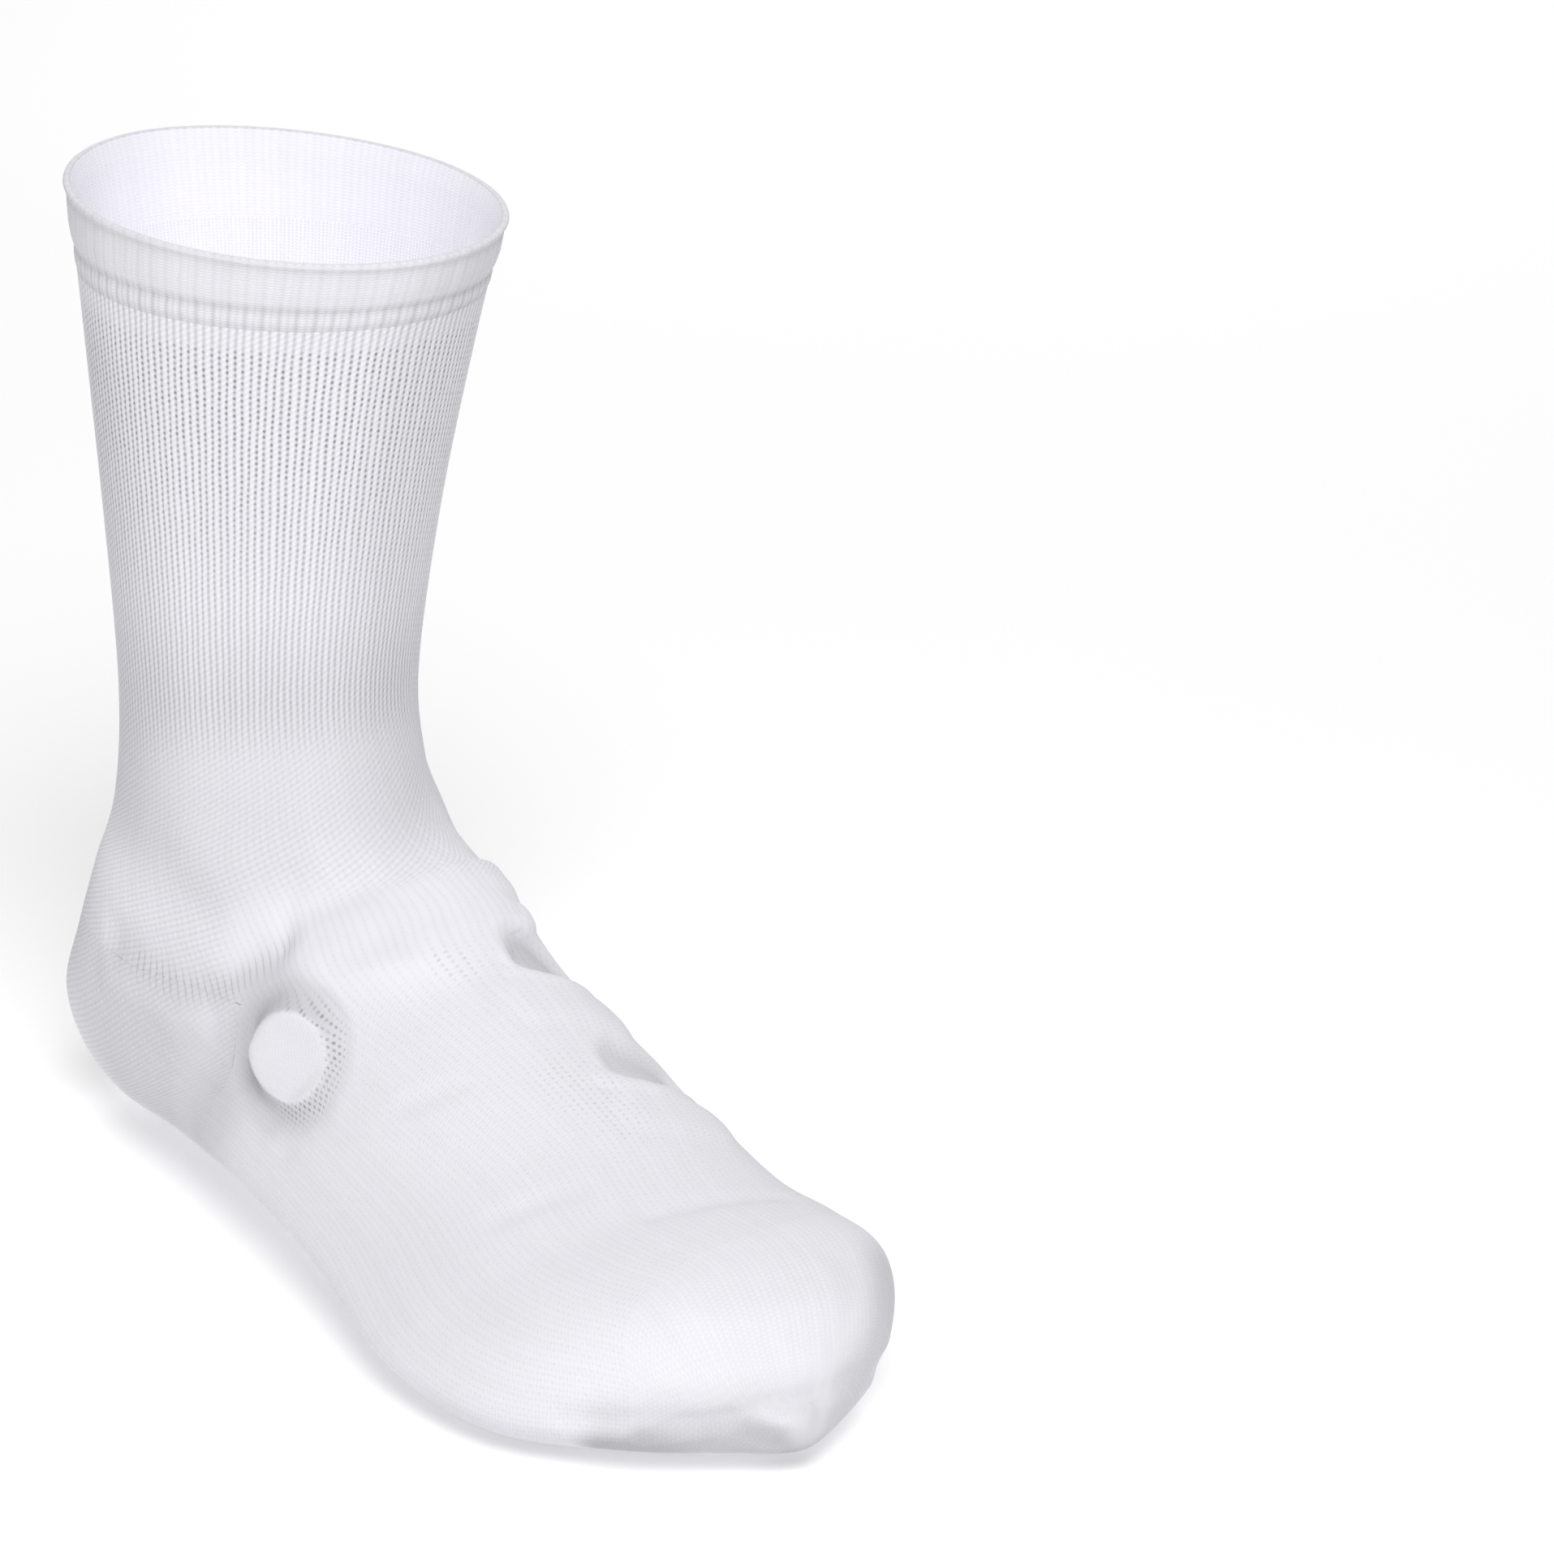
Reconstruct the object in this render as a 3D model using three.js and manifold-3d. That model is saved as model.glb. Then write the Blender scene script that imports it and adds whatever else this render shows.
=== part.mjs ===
// Knitted cycling overshoe for the right foot, as it sits on a shod foot: a ribbed welt, an
// open-mesh leg, a turned heel pocket, a foot sleeve with a hemmed cleat opening, and a toe cap.
//
// Millimetres. +X points to the toe, +Y to the wearer's left (the inner side of this foot), +Z up.
// The origin is the seat of the shoe, on the inner face of the sole straight below the ankle.
//
// The whole sock is one knitted tube. Its skin is a loft through the sections below, addressed by
// a station along the tube (0 at the rim, LAST_STATION at the point of the toe) and an angle round
// it (0 degrees along the shin and instep, 90 on the inner side, 180 along the calf, heel and sole).

import * as THREE from 'three';
import { mergeVertices } from 'three/addons/utils/BufferGeometryUtils.js';
import Module from 'manifold-3d';

const wasm = await Module();
wasm.setup();

// ---------------------------------------------------------------- driving dimensions

const KNIT = {
  welt: 2.4, // two layers of rib, folded over
  leg: 1.4, // open mesh
  heel: 2.0, // short rows in a thicker yarn
  foot: 1.6,
  toe: 2.0,
};
const WELT_PROUD = 0.8; // how far the double welt stands out from the leg below it
const GAP = 0.3; // clearance between neighbouring pieces
const FACETS = 60; // facets round every section of the tube

const CLEAT = { // oval opening through the sole, under the ball of the foot
  x: 118,
  y: -11,
  halfLength: 37,
  halfWidth: 25,
  hemWidth: 4,
  hemRise: 0.6, // how far the rolled hem stands out below the sole
  facets: 32,
};

// ---------------------------------------------------------------- sections of the tube

// front and back are the two ends of a section on the middle plane of the foot. half is half its
// width, shift moves it sideways, and lean slides its front inwards against its back. ridge is
// where it is widest, from 0 at the back to 1 at the front, and the powers square off its two
// halves: 2 is an ellipse, and more is boxier.
const SECTION_COLUMNS = [
  'frontX', 'frontZ', 'backX', 'backZ', 'half', 'shift', 'lean', 'ridge', 'frontPower', 'backPower',
];
const SECTIONS = [
  // frontX frontZ backX  backZ  half  shift  lean ridge  powers
  [ 56.5, 229.5, -54.0, 237.5, 47.0,  3.0,  8.0, 0.51, 2.0, 1.9], // 0 rim
  [ 47.5, 204.0, -47.5, 206.0, 44.5,  2.0,  7.0, 0.51, 2.0, 1.9], // 1 below the welt
  [ 38.0, 159.0, -41.5, 158.0, 39.0,  1.0,  6.0, 0.50, 1.9, 2.0], // 2 foot of the calf
  [ 32.5, 118.5, -37.0, 112.0, 35.0, -0.5,  6.0, 0.50, 1.9, 2.0], // 3 narrowest
  [ 35.5,  99.0, -42.0,  79.5, 34.0, -0.5,  7.5, 0.50, 2.0, 2.0], // 4 ankle
  [ 41.0,  85.5, -56.5,  56.0, 35.0,  2.0,  7.5, 0.48, 2.1, 2.1], // 5 ankle bones
  [ 51.5,  77.0, -68.0,  34.0, 36.0,  4.5, 11.0, 0.47, 2.1, 2.2], // 6 collar of the shoe
  [ 66.0,  74.0, -73.5,  15.5, 36.5,  4.0, 10.0, 0.46, 2.2, 2.4], // 7 back of the heel
  [ 79.0,  71.5, -66.0,   1.0, 36.5,  3.0,  4.0, 0.46, 2.3, 2.6], // 8 tongue of the shoe
  [ 88.5,  64.5, -43.5,  -4.5, 36.5,  3.0,  5.5, 0.43, 2.3, 2.8], // 9 heel of the sole
  [100.5,  59.0, -11.0,  -2.5, 37.0,  2.0,  8.5, 0.41, 2.3, 2.9], // 10 instep
  [115.0,  51.0,  31.0,   0.0, 39.0, -0.5, 14.5, 0.39, 2.3, 3.1], // 11 arch
  [135.0,  40.5,  77.5,  -1.5, 42.5, -3.0, 21.0, 0.37, 2.2, 3.3], // 12 back of the ball
  [156.0,  33.5, 122.0,  -9.0, 47.5, -6.0, 20.5, 0.40, 2.2, 3.5], // 13 ball
  [175.5,  34.5, 157.5, -13.0, 47.0, -5.0, 15.0, 0.41, 2.3, 3.5], // 14 roots of the toes
  [191.5,  33.5, 184.0, -11.5, 41.0, -0.5,  9.0, 0.44, 2.3, 2.9], // 15 toe box
  [204.0,  25.5, 201.0, -10.0, 27.5,  1.5,  3.5, 0.47, 2.2, 2.4], // 16 end of the toes
  [210.0,  14.0, 211.0,  -7.0,  8.5,  1.0,  2.0, 0.50, 2.0, 2.0], // 17 toe
  [211.5,   3.5, 211.5,   3.5,  0.0,  1.0,  0.0, 0.50, 2.0, 2.0], // 18 point of the toe
];
const LAST_STATION = SECTIONS.length - 1;

// ---------------------------------------------------------------- edges of the knitted zones

// Each edge is a station for an angle round the tube.
const WELT_EDGE = 0.72;
const INSTEP_EDGE = 8.1; // where the leg ends and the foot starts, in front of the heel pocket
const POCKET_CORNER = 72; // degrees from the instep to either corner of the heel pocket
const POCKET_TOP = { back: 5.6, bend: 3.2 }; // its upper edge, which the leg ends at
const POCKET_BOTTOM = { back: 10.4, bend: 6 }; // its lower edge, which the foot starts at
const TOE_EDGE = [14.6, 14.3, 14.2, 14.6, 15.0, 15.3, 15.4, 14.8]; // one every 45 degrees

// ---------------------------------------------------------------- what shows through the knit

// Each row lifts (or sinks) the skin along a path of points. reach is how far from the path it
// dies away, and flat is the share of the reach that keeps the full rise.
const RELIEF_COLUMNS = ['path', 'reach', 'flat', 'rise'];
const RELIEF = [
  // the ankle bones
  [[[14, -30, 77], [18, -28, 73]], 17, 0, 2.2],
  [[[10, 38, 84], [14, 38, 80]], 18, 0, 2.5],
  // the hollow above the shoe's collar, and the collar itself
  [[[-24, -34, 47], [16, -33, 48], [38, -25, 64]], 9, 0, -1.6],
  [[[-24, 42, 52], [30, 40, 56]], 8, 0, -1.4],
  [[[-26, -34, 36], [14, -34, 37]], 9, 0, 1.0],
  // the Achilles tendon
  [[[-42, 2, 95], [-64, 4, 50]], 12, 0, 1.2],
  // the bend of the ankle, and the edge of the shoe's tongue below it
  [[[37, -6, 88], [37, 22, 88]], 13, 0, -0.8],
  [[[46, -22, 63], [57, -6, 73], [53, 25, 74]], 13, 0.1, 2.2],
  // the shoe's straps across the instep, and the hollows between them
  [[[68, -2, 72], [70, 18, 71]], 11, 0.4, 1.0],
  [[[96, 8, 60], [100, 26, 54]], 10, 0.4, 1.2],
  [[[130, 16, 43], [134, 30, 37]], 10, 0.4, 1.2],
  [[[82, 15, 67], [86, 32, 57]], 9, 0.4, -2.5],
  [[[115, 20, 49], [118, 34, 41]], 9, 0.3, -2.4],
  // the slack below the closure dial
  [[[68, -31, 30], [60, -35, 22]], 8, 0, -0.8],
  // soft creases where the foot bends
  [[[93, -29, 43], [104, -20, 50]], 6, 0, -1.0],
  [[[135, -31, 30], [142, -14, 35]], 6, 0, -1.0],
  [[[160, -6, 33], [168, 24, 32]], 7, 0, -0.8],
  // the linked seam across the front of the toe, and the full stretch above it
  [[[182, -45, 1], [198, -34, 3], [211, -6, 5], [209, 14, 6], [200, 31, 1]], 5, 0, -1.0],
  [[[196, -16, 28], [200, 8, 26]], 12, 0.3, 0.8],
];

// The shoe's closure dial: a flat disc under the knit, tilted forwards from the side of the shoe.
// Round it the knit runs back to the shoe in a skirt and sinks into a shallow moat.
const DIAL = {
  centre: [52.4, -33.5, 41.2],
  azimuth: 15, // degrees that it turns from straight sideways towards the toe
  elevation: 10, // degrees that it tips up
  radius: 10.8,
  softness: 1, // square of the radius that its rim is rounded to
  leastLift: 0.8,
  skirt: 6,
  moat: 1.2,
  moatAt: 4, // distance past the rim
  moatReach: 5,
  depth: 20, // how far behind the disc its effect reaches
};

const RADIANS = Math.PI / 180;
const FULL_TURN = 360;

const byColumn = (columns, rows) => (
  rows.map((row) => Object.fromEntries(columns.map((column, i) => [column, row[i]])))
);

const SECTION_ROWS = byColumn(SECTION_COLUMNS, SECTIONS);

const asVector = (coordinates) => new THREE.Vector3(...coordinates);

const DIAL_CENTRE = asVector(DIAL.centre);
const DIAL_FACING = asVector([
  Math.sin(DIAL.azimuth * RADIANS) * Math.cos(DIAL.elevation * RADIANS),
  -Math.cos(DIAL.azimuth * RADIANS) * Math.cos(DIAL.elevation * RADIANS),
  Math.sin(DIAL.elevation * RADIANS),
]);

const RELIEF_ROWS = byColumn(RELIEF_COLUMNS, RELIEF).map((row) => ({
  ...row,
  lines: row.path.slice(1).map((end, i) => new THREE.Line3(asVector(row.path[i]), asVector(end))),
}));

// ---------------------------------------------------------------- the skin

// A value between two of four evenly spaced ones, on a Catmull-Rom curve.
function catmullRom(before, start, end, after, share) {
  const slopeIn = (end - before) / 2;
  const slopeOut = (after - start) / 2;
  const cubic = 2 * start - 2 * end + slopeIn + slopeOut;
  const square = -3 * start + 3 * end - 2 * slopeIn - slopeOut;
  return ((cubic * share + square) * share + slopeIn) * share + start;
}

function rowAt(index, column) {
  if (index < 0) return 2 * SECTION_ROWS[0][column] - SECTION_ROWS[1][column];
  if (index > LAST_STATION) {
    return 2 * SECTION_ROWS[LAST_STATION][column] - SECTION_ROWS[LAST_STATION - 1][column];
  }
  return SECTION_ROWS[index][column];
}

function sectionAt(station) {
  const index = Math.min(Math.max(Math.floor(station), 0), LAST_STATION - 1);
  const share = station - index;
  return Object.fromEntries(SECTION_COLUMNS.map((column) => {
    const [before, start, end, after] = [-1, 0, 1, 2].map((step) => rowAt(index + step, column));
    return [column, catmullRom(before, start, end, after, share)];
  }));
}

// The smooth tube, before anything shows through it.
function tubePoint(station, angle) {
  const section = sectionAt(station);
  const cosine = Math.cos(angle * RADIANS);
  const sine = Math.sin(angle * RADIANS);
  const power = cosine >= 0 ? section.frontPower : section.backPower;
  const along = Math.sign(cosine) * Math.abs(cosine) ** (2 / power);
  const across = Math.sign(sine) * Math.abs(sine) ** (2 / power);
  const side = along >= 0 ? 1 - section.ridge : section.ridge;
  const toFront = section.ridge + side * along;
  return new THREE.Vector3(
    THREE.MathUtils.lerp(section.backX, section.frontX, toFront),
    section.shift + section.half * across + section.lean * (toFront - section.ridge),
    THREE.MathUtils.lerp(section.backZ, section.frontZ, toFront),
  );
}

const STATION_STEP = 0.01;
const ANGLE_STEP = 1;

function tubeNormal(station, angle) {
  const middle = Math.min(station, LAST_STATION - 2 * STATION_STEP);
  const lengthwise = tubePoint(middle + STATION_STEP, angle)
    .sub(tubePoint(middle - STATION_STEP, angle));
  const round = tubePoint(middle, angle + ANGLE_STEP).sub(tubePoint(middle, angle - ANGLE_STEP));
  return round.cross(lengthwise).normalize().negate();
}

function distanceTo(line, point) {
  return line.closestPointToPoint(point, true, new THREE.Vector3()).distanceTo(point);
}

function reliefAt(point) {
  return RELIEF_ROWS.reduce((total, { lines, reach, flat, rise }) => {
    const share = Math.min(...lines.map((line) => distanceTo(line, point))) / reach;
    return total + rise * (1 - THREE.MathUtils.smoothstep(share, flat, 1));
  }, 0);
}

// How far the dial holds the skin out.
function dialLift(point, normal) {
  const away = DIAL_CENTRE.clone().sub(point);
  const behind = away.dot(DIAL_FACING);
  if (Math.abs(behind) > DIAL.depth) return 0;
  const pastRim = away.addScaledVector(DIAL_FACING, -behind).length() - DIAL.radius;
  const rounded = (Math.sqrt(pastRim ** 2 + DIAL.softness) + pastRim) / 2;
  const cover = (1 - Math.min(rounded / DIAL.skirt, 1)) ** 2;
  const lift = Math.max(behind, DIAL.leastLift) / Math.max(normal.dot(DIAL_FACING), 0.3);
  const fromMoat = Math.abs(pastRim - DIAL.moatAt) / DIAL.moatReach;
  return lift * cover - DIAL.moat * (1 - THREE.MathUtils.smoothstep(fromMoat, 0, 1));
}

// A point of the knit, as deep as asked below its outer face. Negative depths stand proud.
function skin(station, angle, depth = 0) {
  const point = tubePoint(station, angle);
  const normal = tubeNormal(station, angle);
  const rise = reliefAt(point) + dialLift(point, normal);
  return point.addScaledVector(normal, rise - depth);
}

// ---------------------------------------------------------------- zone edges as functions

const FACET_ANGLE = FULL_TURN / FACETS;

// How far round the heel pocket an angle lies: 0 at its corner or in front of it, 1 at the back.
function pocketShare(angle) {
  const fromInstep = Math.abs(angle > FULL_TURN / 2 ? FULL_TURN - angle : angle);
  return Math.max((fromInstep - POCKET_CORNER) / (FULL_TURN / 2 - POCKET_CORNER), 0);
}

function pocketEdge({ back, bend }) {
  return (angle) => {
    const swing = 1 - (1 - pocketShare(angle)) ** bend;
    return THREE.MathUtils.lerp(INSTEP_EDGE, back, swing);
  };
}

function toeEdge(angle) {
  const spacing = FULL_TURN / TOE_EDGE.length;
  const index = Math.floor(angle / spacing);
  const knots = [-1, 0, 1, 2].map((step) => TOE_EDGE.at((index + step) % TOE_EDGE.length));
  return catmullRom(...knots, angle / spacing - index);
}

// The same edge, straight from facet to facet, so that neighbouring pieces share it exactly.
function faceted(edge) {
  return (angle) => {
    const facet = Math.floor(angle / FACET_ANGLE) * FACET_ANGLE;
    return THREE.MathUtils.lerp(edge(facet), edge(facet + FACET_ANGLE), (angle - facet) / FACET_ANGLE);
  };
}

const legEdge = faceted(pocketEdge(POCKET_TOP));
const footEdge = faceted(pocketEdge(POCKET_BOTTOM));

// A station that lies the given distance further down the tube.
function moved(station, angle, distance) {
  const length = tubePoint(station + STATION_STEP, angle)
    .distanceTo(tubePoint(station - STATION_STEP, angle)) / (2 * STATION_STEP);
  return station + distance / length;
}

// ---------------------------------------------------------------- solids

// Joins a list of triangles, each three points, into one closed geometry without slivers.
function closedGeometry(triangles) {
  const loose = new THREE.BufferGeometry().setFromPoints(triangles.flat());
  const merged = mergeVertices(loose, 1e-3);
  const index = [];
  for (let i = 0; i < merged.index.count; i += 3) {
    const [a, b, c] = [0, 1, 2].map((corner) => merged.index.getX(i + corner));
    if (a !== b && b !== c && c !== a) index.push(a, b, c);
  }
  merged.setIndex(index);
  return merged;
}

// Two triangles over four points that run anticlockwise as seen from outside, split along the
// shorter diagonal, because the sections fan out and skew the facets between them.
function quad(a, b, c, d) {
  return a.distanceTo(c) < b.distanceTo(d) ? [[a, b, c], [a, c, d]] : [[a, b, d], [b, c, d]];
}

// A wall of the knit between two edges. angles run round the tube, rows are shares of the way
// from the first edge to the second, and wall(share) gives the depths of its two faces.
function knittedWall({ angles, first, second, rows, wall, closed }) {
  const column = (angle) => rows.map((share) => {
    const station = THREE.MathUtils.lerp(first(angle), second(angle), share);
    const { outer, inner } = wall(share);
    return { outer: skin(station, angle, outer), inner: skin(station, angle, inner) };
  });
  const columns = angles.map(column);
  const triangles = [];
  const last = columns.length - (closed ? 0 : 1);
  for (let j = 0; j < last; j += 1) {
    const here = columns[j];
    const next = columns[(j + 1) % columns.length];
    for (let i = 0; i + 1 < rows.length; i += 1) {
      triangles.push(...quad(here[i].outer, here[i + 1].outer, next[i + 1].outer, next[i].outer));
      triangles.push(...quad(here[i].inner, next[i].inner, next[i + 1].inner, here[i + 1].inner));
    }
    const end = rows.length - 1;
    triangles.push(...quad(here[0].outer, next[0].outer, next[0].inner, here[0].inner));
    triangles.push(...quad(here[end].outer, here[end].inner, next[end].inner, next[end].outer));
  }
  if (!closed) {
    const start = columns[0];
    const stop = columns.at(-1);
    for (let i = 0; i + 1 < rows.length; i += 1) {
      triangles.push(...quad(start[i].outer, start[i].inner, start[i + 1].inner, start[i + 1].outer));
      triangles.push(...quad(stop[i].outer, stop[i + 1].outer, stop[i + 1].inner, stop[i].inner));
    }
  }
  return closedGeometry(triangles);
}

const evenShares = (count) => Array.from({ length: count + 1 }, (_, i) => i / count);

const allRound = Array.from({ length: FACETS }, (_, i) => i * FACET_ANGLE);

function cuffGeometry() {
  const fold = 0.05; // share of the welt's depth over which its rim is rounded
  return knittedWall({
    angles: allRound,
    first: () => 0,
    second: (angle) => moved(WELT_EDGE, angle, -GAP / 2),
    rows: [0, fold, 1],
    wall: (share) => {
      const rounded = share === 0 ? KNIT.welt / 4 : 0;
      return { outer: rounded - WELT_PROUD, inner: KNIT.welt - WELT_PROUD - rounded };
    },
    closed: true,
  });
}

function legGeometry() {
  return knittedWall({
    angles: allRound,
    first: (angle) => moved(WELT_EDGE, angle, GAP / 2),
    second: (angle) => moved(legEdge(angle), angle, -GAP / 2),
    rows: evenShares(10).map((share) => share ** 0.75), // closer together towards the ankle
    wall: () => ({ outer: 0, inner: KNIT.leg }),
    closed: true,
  });
}

function heelPocketGeometry() {
  const tip = 0.4; // degrees from each corner to where the pocket starts
  const first = POCKET_CORNER + tip;
  const last = FULL_TURN - first;
  return knittedWall({
    angles: [first, ...allRound.filter((angle) => angle > first && angle < last), last],
    first: (angle) => moved(legEdge(angle), angle, GAP / 2),
    second: (angle) => moved(footEdge(angle), angle, -GAP / 2),
    rows: evenShares(9),
    wall: () => ({ outer: 0, inner: KNIT.heel }),
    closed: false,
  });
}

function footTubeGeometry() {
  return knittedWall({
    angles: allRound,
    first: (angle) => moved(footEdge(angle), angle, GAP / 2),
    second: (angle) => moved(toeEdge(angle), angle, -GAP / 2),
    rows: evenShares(17),
    wall: () => ({ outer: 0, inner: KNIT.foot }),
    closed: true,
  });
}

function toeCapGeometry() {
  return knittedWall({
    angles: allRound,
    first: (angle) => moved(toeEdge(angle), angle, GAP / 2),
    second: () => LAST_STATION,
    rows: [0, 0.18, 0.36, 0.52, 0.67, 0.8, 0.91, 1],
    wall: () => ({ outer: 0, inner: KNIT.toe }),
    closed: true,
  });
}

// ---------------------------------------------------------------- the cleat opening

// Where on the sole a point seen from below lies, by a few steps of Newton's method.
function soleAddress(x, y) {
  let station = 13;
  let angle = 180;
  for (let step = 0; step < 8; step += 1) {
    const here = tubePoint(station, angle);
    const along = tubePoint(station + STATION_STEP, angle).sub(here).divideScalar(STATION_STEP);
    const round = tubePoint(station, angle + ANGLE_STEP).sub(here).divideScalar(ANGLE_STEP);
    const missX = x - here.x;
    const missY = y - here.y;
    const area = along.x * round.y - along.y * round.x;
    station += (missX * round.y - missY * round.x) / area;
    angle += (along.x * missY - along.y * missX) / area;
  }
  return { station, angle };
}

// A point of the sole at a turn round the opening, outwards from its edge.
function cleatPoint(turn, outwards, depth) {
  const cosine = Math.cos(turn);
  const sine = Math.sin(turn);
  const away = new THREE.Vector2(CLEAT.halfWidth * cosine, CLEAT.halfLength * sine).setLength(outwards);
  const x = CLEAT.x + CLEAT.halfLength * cosine + away.x;
  const y = CLEAT.y + CLEAT.halfWidth * sine + away.y;
  const { station, angle } = soleAddress(x, y);
  return skin(station, angle, depth);
}

// The rolled hem: a ring lofted round the opening through an eight-cornered section.
function cleatHemGeometry() {
  const halfHeight = (KNIT.foot + 2 * CLEAT.hemRise) / 2;
  const corners = [[1, 0.4], [0.4, 1], [-0.4, 1], [-1, 0.4], [-1, -0.4], [-0.4, -1], [0.4, -1], [1, -0.4]];
  const loops = Array.from({ length: CLEAT.facets }, (_, j) => {
    const turn = (j * 2 * Math.PI) / CLEAT.facets;
    return corners.map(([side, height]) => {
      const inwards = GAP + (CLEAT.hemWidth / 2) * (1 - side);
      return cleatPoint(turn, -inwards, KNIT.foot / 2 - height * halfHeight);
    });
  });
  const triangles = [];
  loops.forEach((here, j) => {
    const next = loops[(j + 1) % loops.length];
    here.forEach((corner, i) => {
      const k = (i + 1) % corners.length;
      triangles.push(...quad(corner, here[k], next[k], next[i]));
    });
  });
  return closedGeometry(triangles);
}

// The upright oval that the opening is cut with.
function cleatCutterGeometry() {
  const outline = new THREE.Shape();
  outline.absellipse(CLEAT.x, CLEAT.y, CLEAT.halfLength, CLEAT.halfWidth, 0, 2 * Math.PI);
  const bottom = -30;
  const top = 14;
  const cutter = new THREE.ExtrudeGeometry(outline, {
    depth: top - bottom,
    bevelEnabled: false,
    curveSegments: CLEAT.facets,
  });
  cutter.translate(0, 0, bottom);
  cutter.deleteAttribute('normal');
  cutter.deleteAttribute('uv');
  return mergeVertices(cutter);
}

function solidOf(geometry) {
  return new wasm.Manifold(new wasm.Mesh({
    numProp: 3,
    vertProperties: geometry.attributes.position.array,
    triVerts: new Uint32Array(geometry.index.array),
  }));
}

function geometryOf(solid) {
  const mesh = solid.getMesh();
  const geometry = new THREE.BufferGeometry();
  geometry.setAttribute('position', new THREE.BufferAttribute(new Float32Array(mesh.vertProperties), 3));
  geometry.setIndex(new THREE.BufferAttribute(new Uint32Array(mesh.triVerts), 1));
  return geometry;
}

function footGeometry() {
  return geometryOf(solidOf(footTubeGeometry()).subtract(solidOf(cleatCutterGeometry())));
}

// ---------------------------------------------------------------- the overshoe

const PIECES = [
  { name: 'cuff', colour: 0xe2e1e7, roughness: 0.9, geometry: cuffGeometry },
  { name: 'leg', colour: 0xdddce2, roughness: 0.92, geometry: legGeometry },
  { name: 'heel_pocket', colour: 0xd8d6de, roughness: 0.92, geometry: heelPocketGeometry },
  { name: 'foot', colour: 0xeeedf3, roughness: 0.88, geometry: footGeometry },
  { name: 'cleat_hem', colour: 0xe8e7ed, roughness: 0.9, geometry: cleatHemGeometry },
  { name: 'toe_cap', colour: 0xeae9ef, roughness: 0.88, geometry: toeCapGeometry },
];

const overshoe = new THREE.Group();
PIECES.forEach(({ name, colour, roughness, geometry }) => {
  const material = new THREE.MeshStandardMaterial({ color: colour, roughness, metalness: 0 });
  const mesh = new THREE.Mesh(geometry(), material);
  mesh.name = name;
  overshoe.add(mesh);
});

export default overshoe;
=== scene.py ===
"""The looks of the knitted cycling overshoe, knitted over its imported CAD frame.

The sock is one tube. As in the CAD source, a point of its skin has a station along the tube (0 at
the rim, 18 at the point of the toe) and an angle round it (0 along the shin and instep, 90 on the
inner side, 180 along the calf, heel and sole). The knit adds wales, counted round the tube, and
courses, counted along it. Lengths are millimetres until a mesh is made.
"""

import math

import bpy
import numpy as np
from mathutils import Matrix, Vector


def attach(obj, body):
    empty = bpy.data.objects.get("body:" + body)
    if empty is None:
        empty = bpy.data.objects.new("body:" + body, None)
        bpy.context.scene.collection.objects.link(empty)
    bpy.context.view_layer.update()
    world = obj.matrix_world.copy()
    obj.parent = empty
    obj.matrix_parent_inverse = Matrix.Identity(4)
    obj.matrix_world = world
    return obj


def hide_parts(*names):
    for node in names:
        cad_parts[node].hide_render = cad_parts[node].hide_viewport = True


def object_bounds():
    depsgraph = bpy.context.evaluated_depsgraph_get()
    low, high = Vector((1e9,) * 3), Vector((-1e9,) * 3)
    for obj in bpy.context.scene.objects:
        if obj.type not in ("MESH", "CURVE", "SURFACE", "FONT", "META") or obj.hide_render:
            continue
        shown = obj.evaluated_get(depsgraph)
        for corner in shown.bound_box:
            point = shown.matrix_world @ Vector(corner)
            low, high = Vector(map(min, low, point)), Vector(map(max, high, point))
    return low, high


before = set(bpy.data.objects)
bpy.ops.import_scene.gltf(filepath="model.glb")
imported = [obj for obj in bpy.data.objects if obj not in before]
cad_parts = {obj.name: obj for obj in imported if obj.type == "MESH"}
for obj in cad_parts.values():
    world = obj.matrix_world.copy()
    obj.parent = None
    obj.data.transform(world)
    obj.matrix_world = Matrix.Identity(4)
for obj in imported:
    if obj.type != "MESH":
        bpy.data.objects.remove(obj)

CAD_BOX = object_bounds()
MM = 0.001

# ------------------------------------------------------------------ the form, as in the CAD source

KNIT = {"welt": 2.4, "leg": 1.4, "heel": 2.0, "foot": 1.6, "toe": 2.0}  # thickness of each wall
WELT_PROUD = 0.8  # how far the double welt stands out from the leg below it

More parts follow.
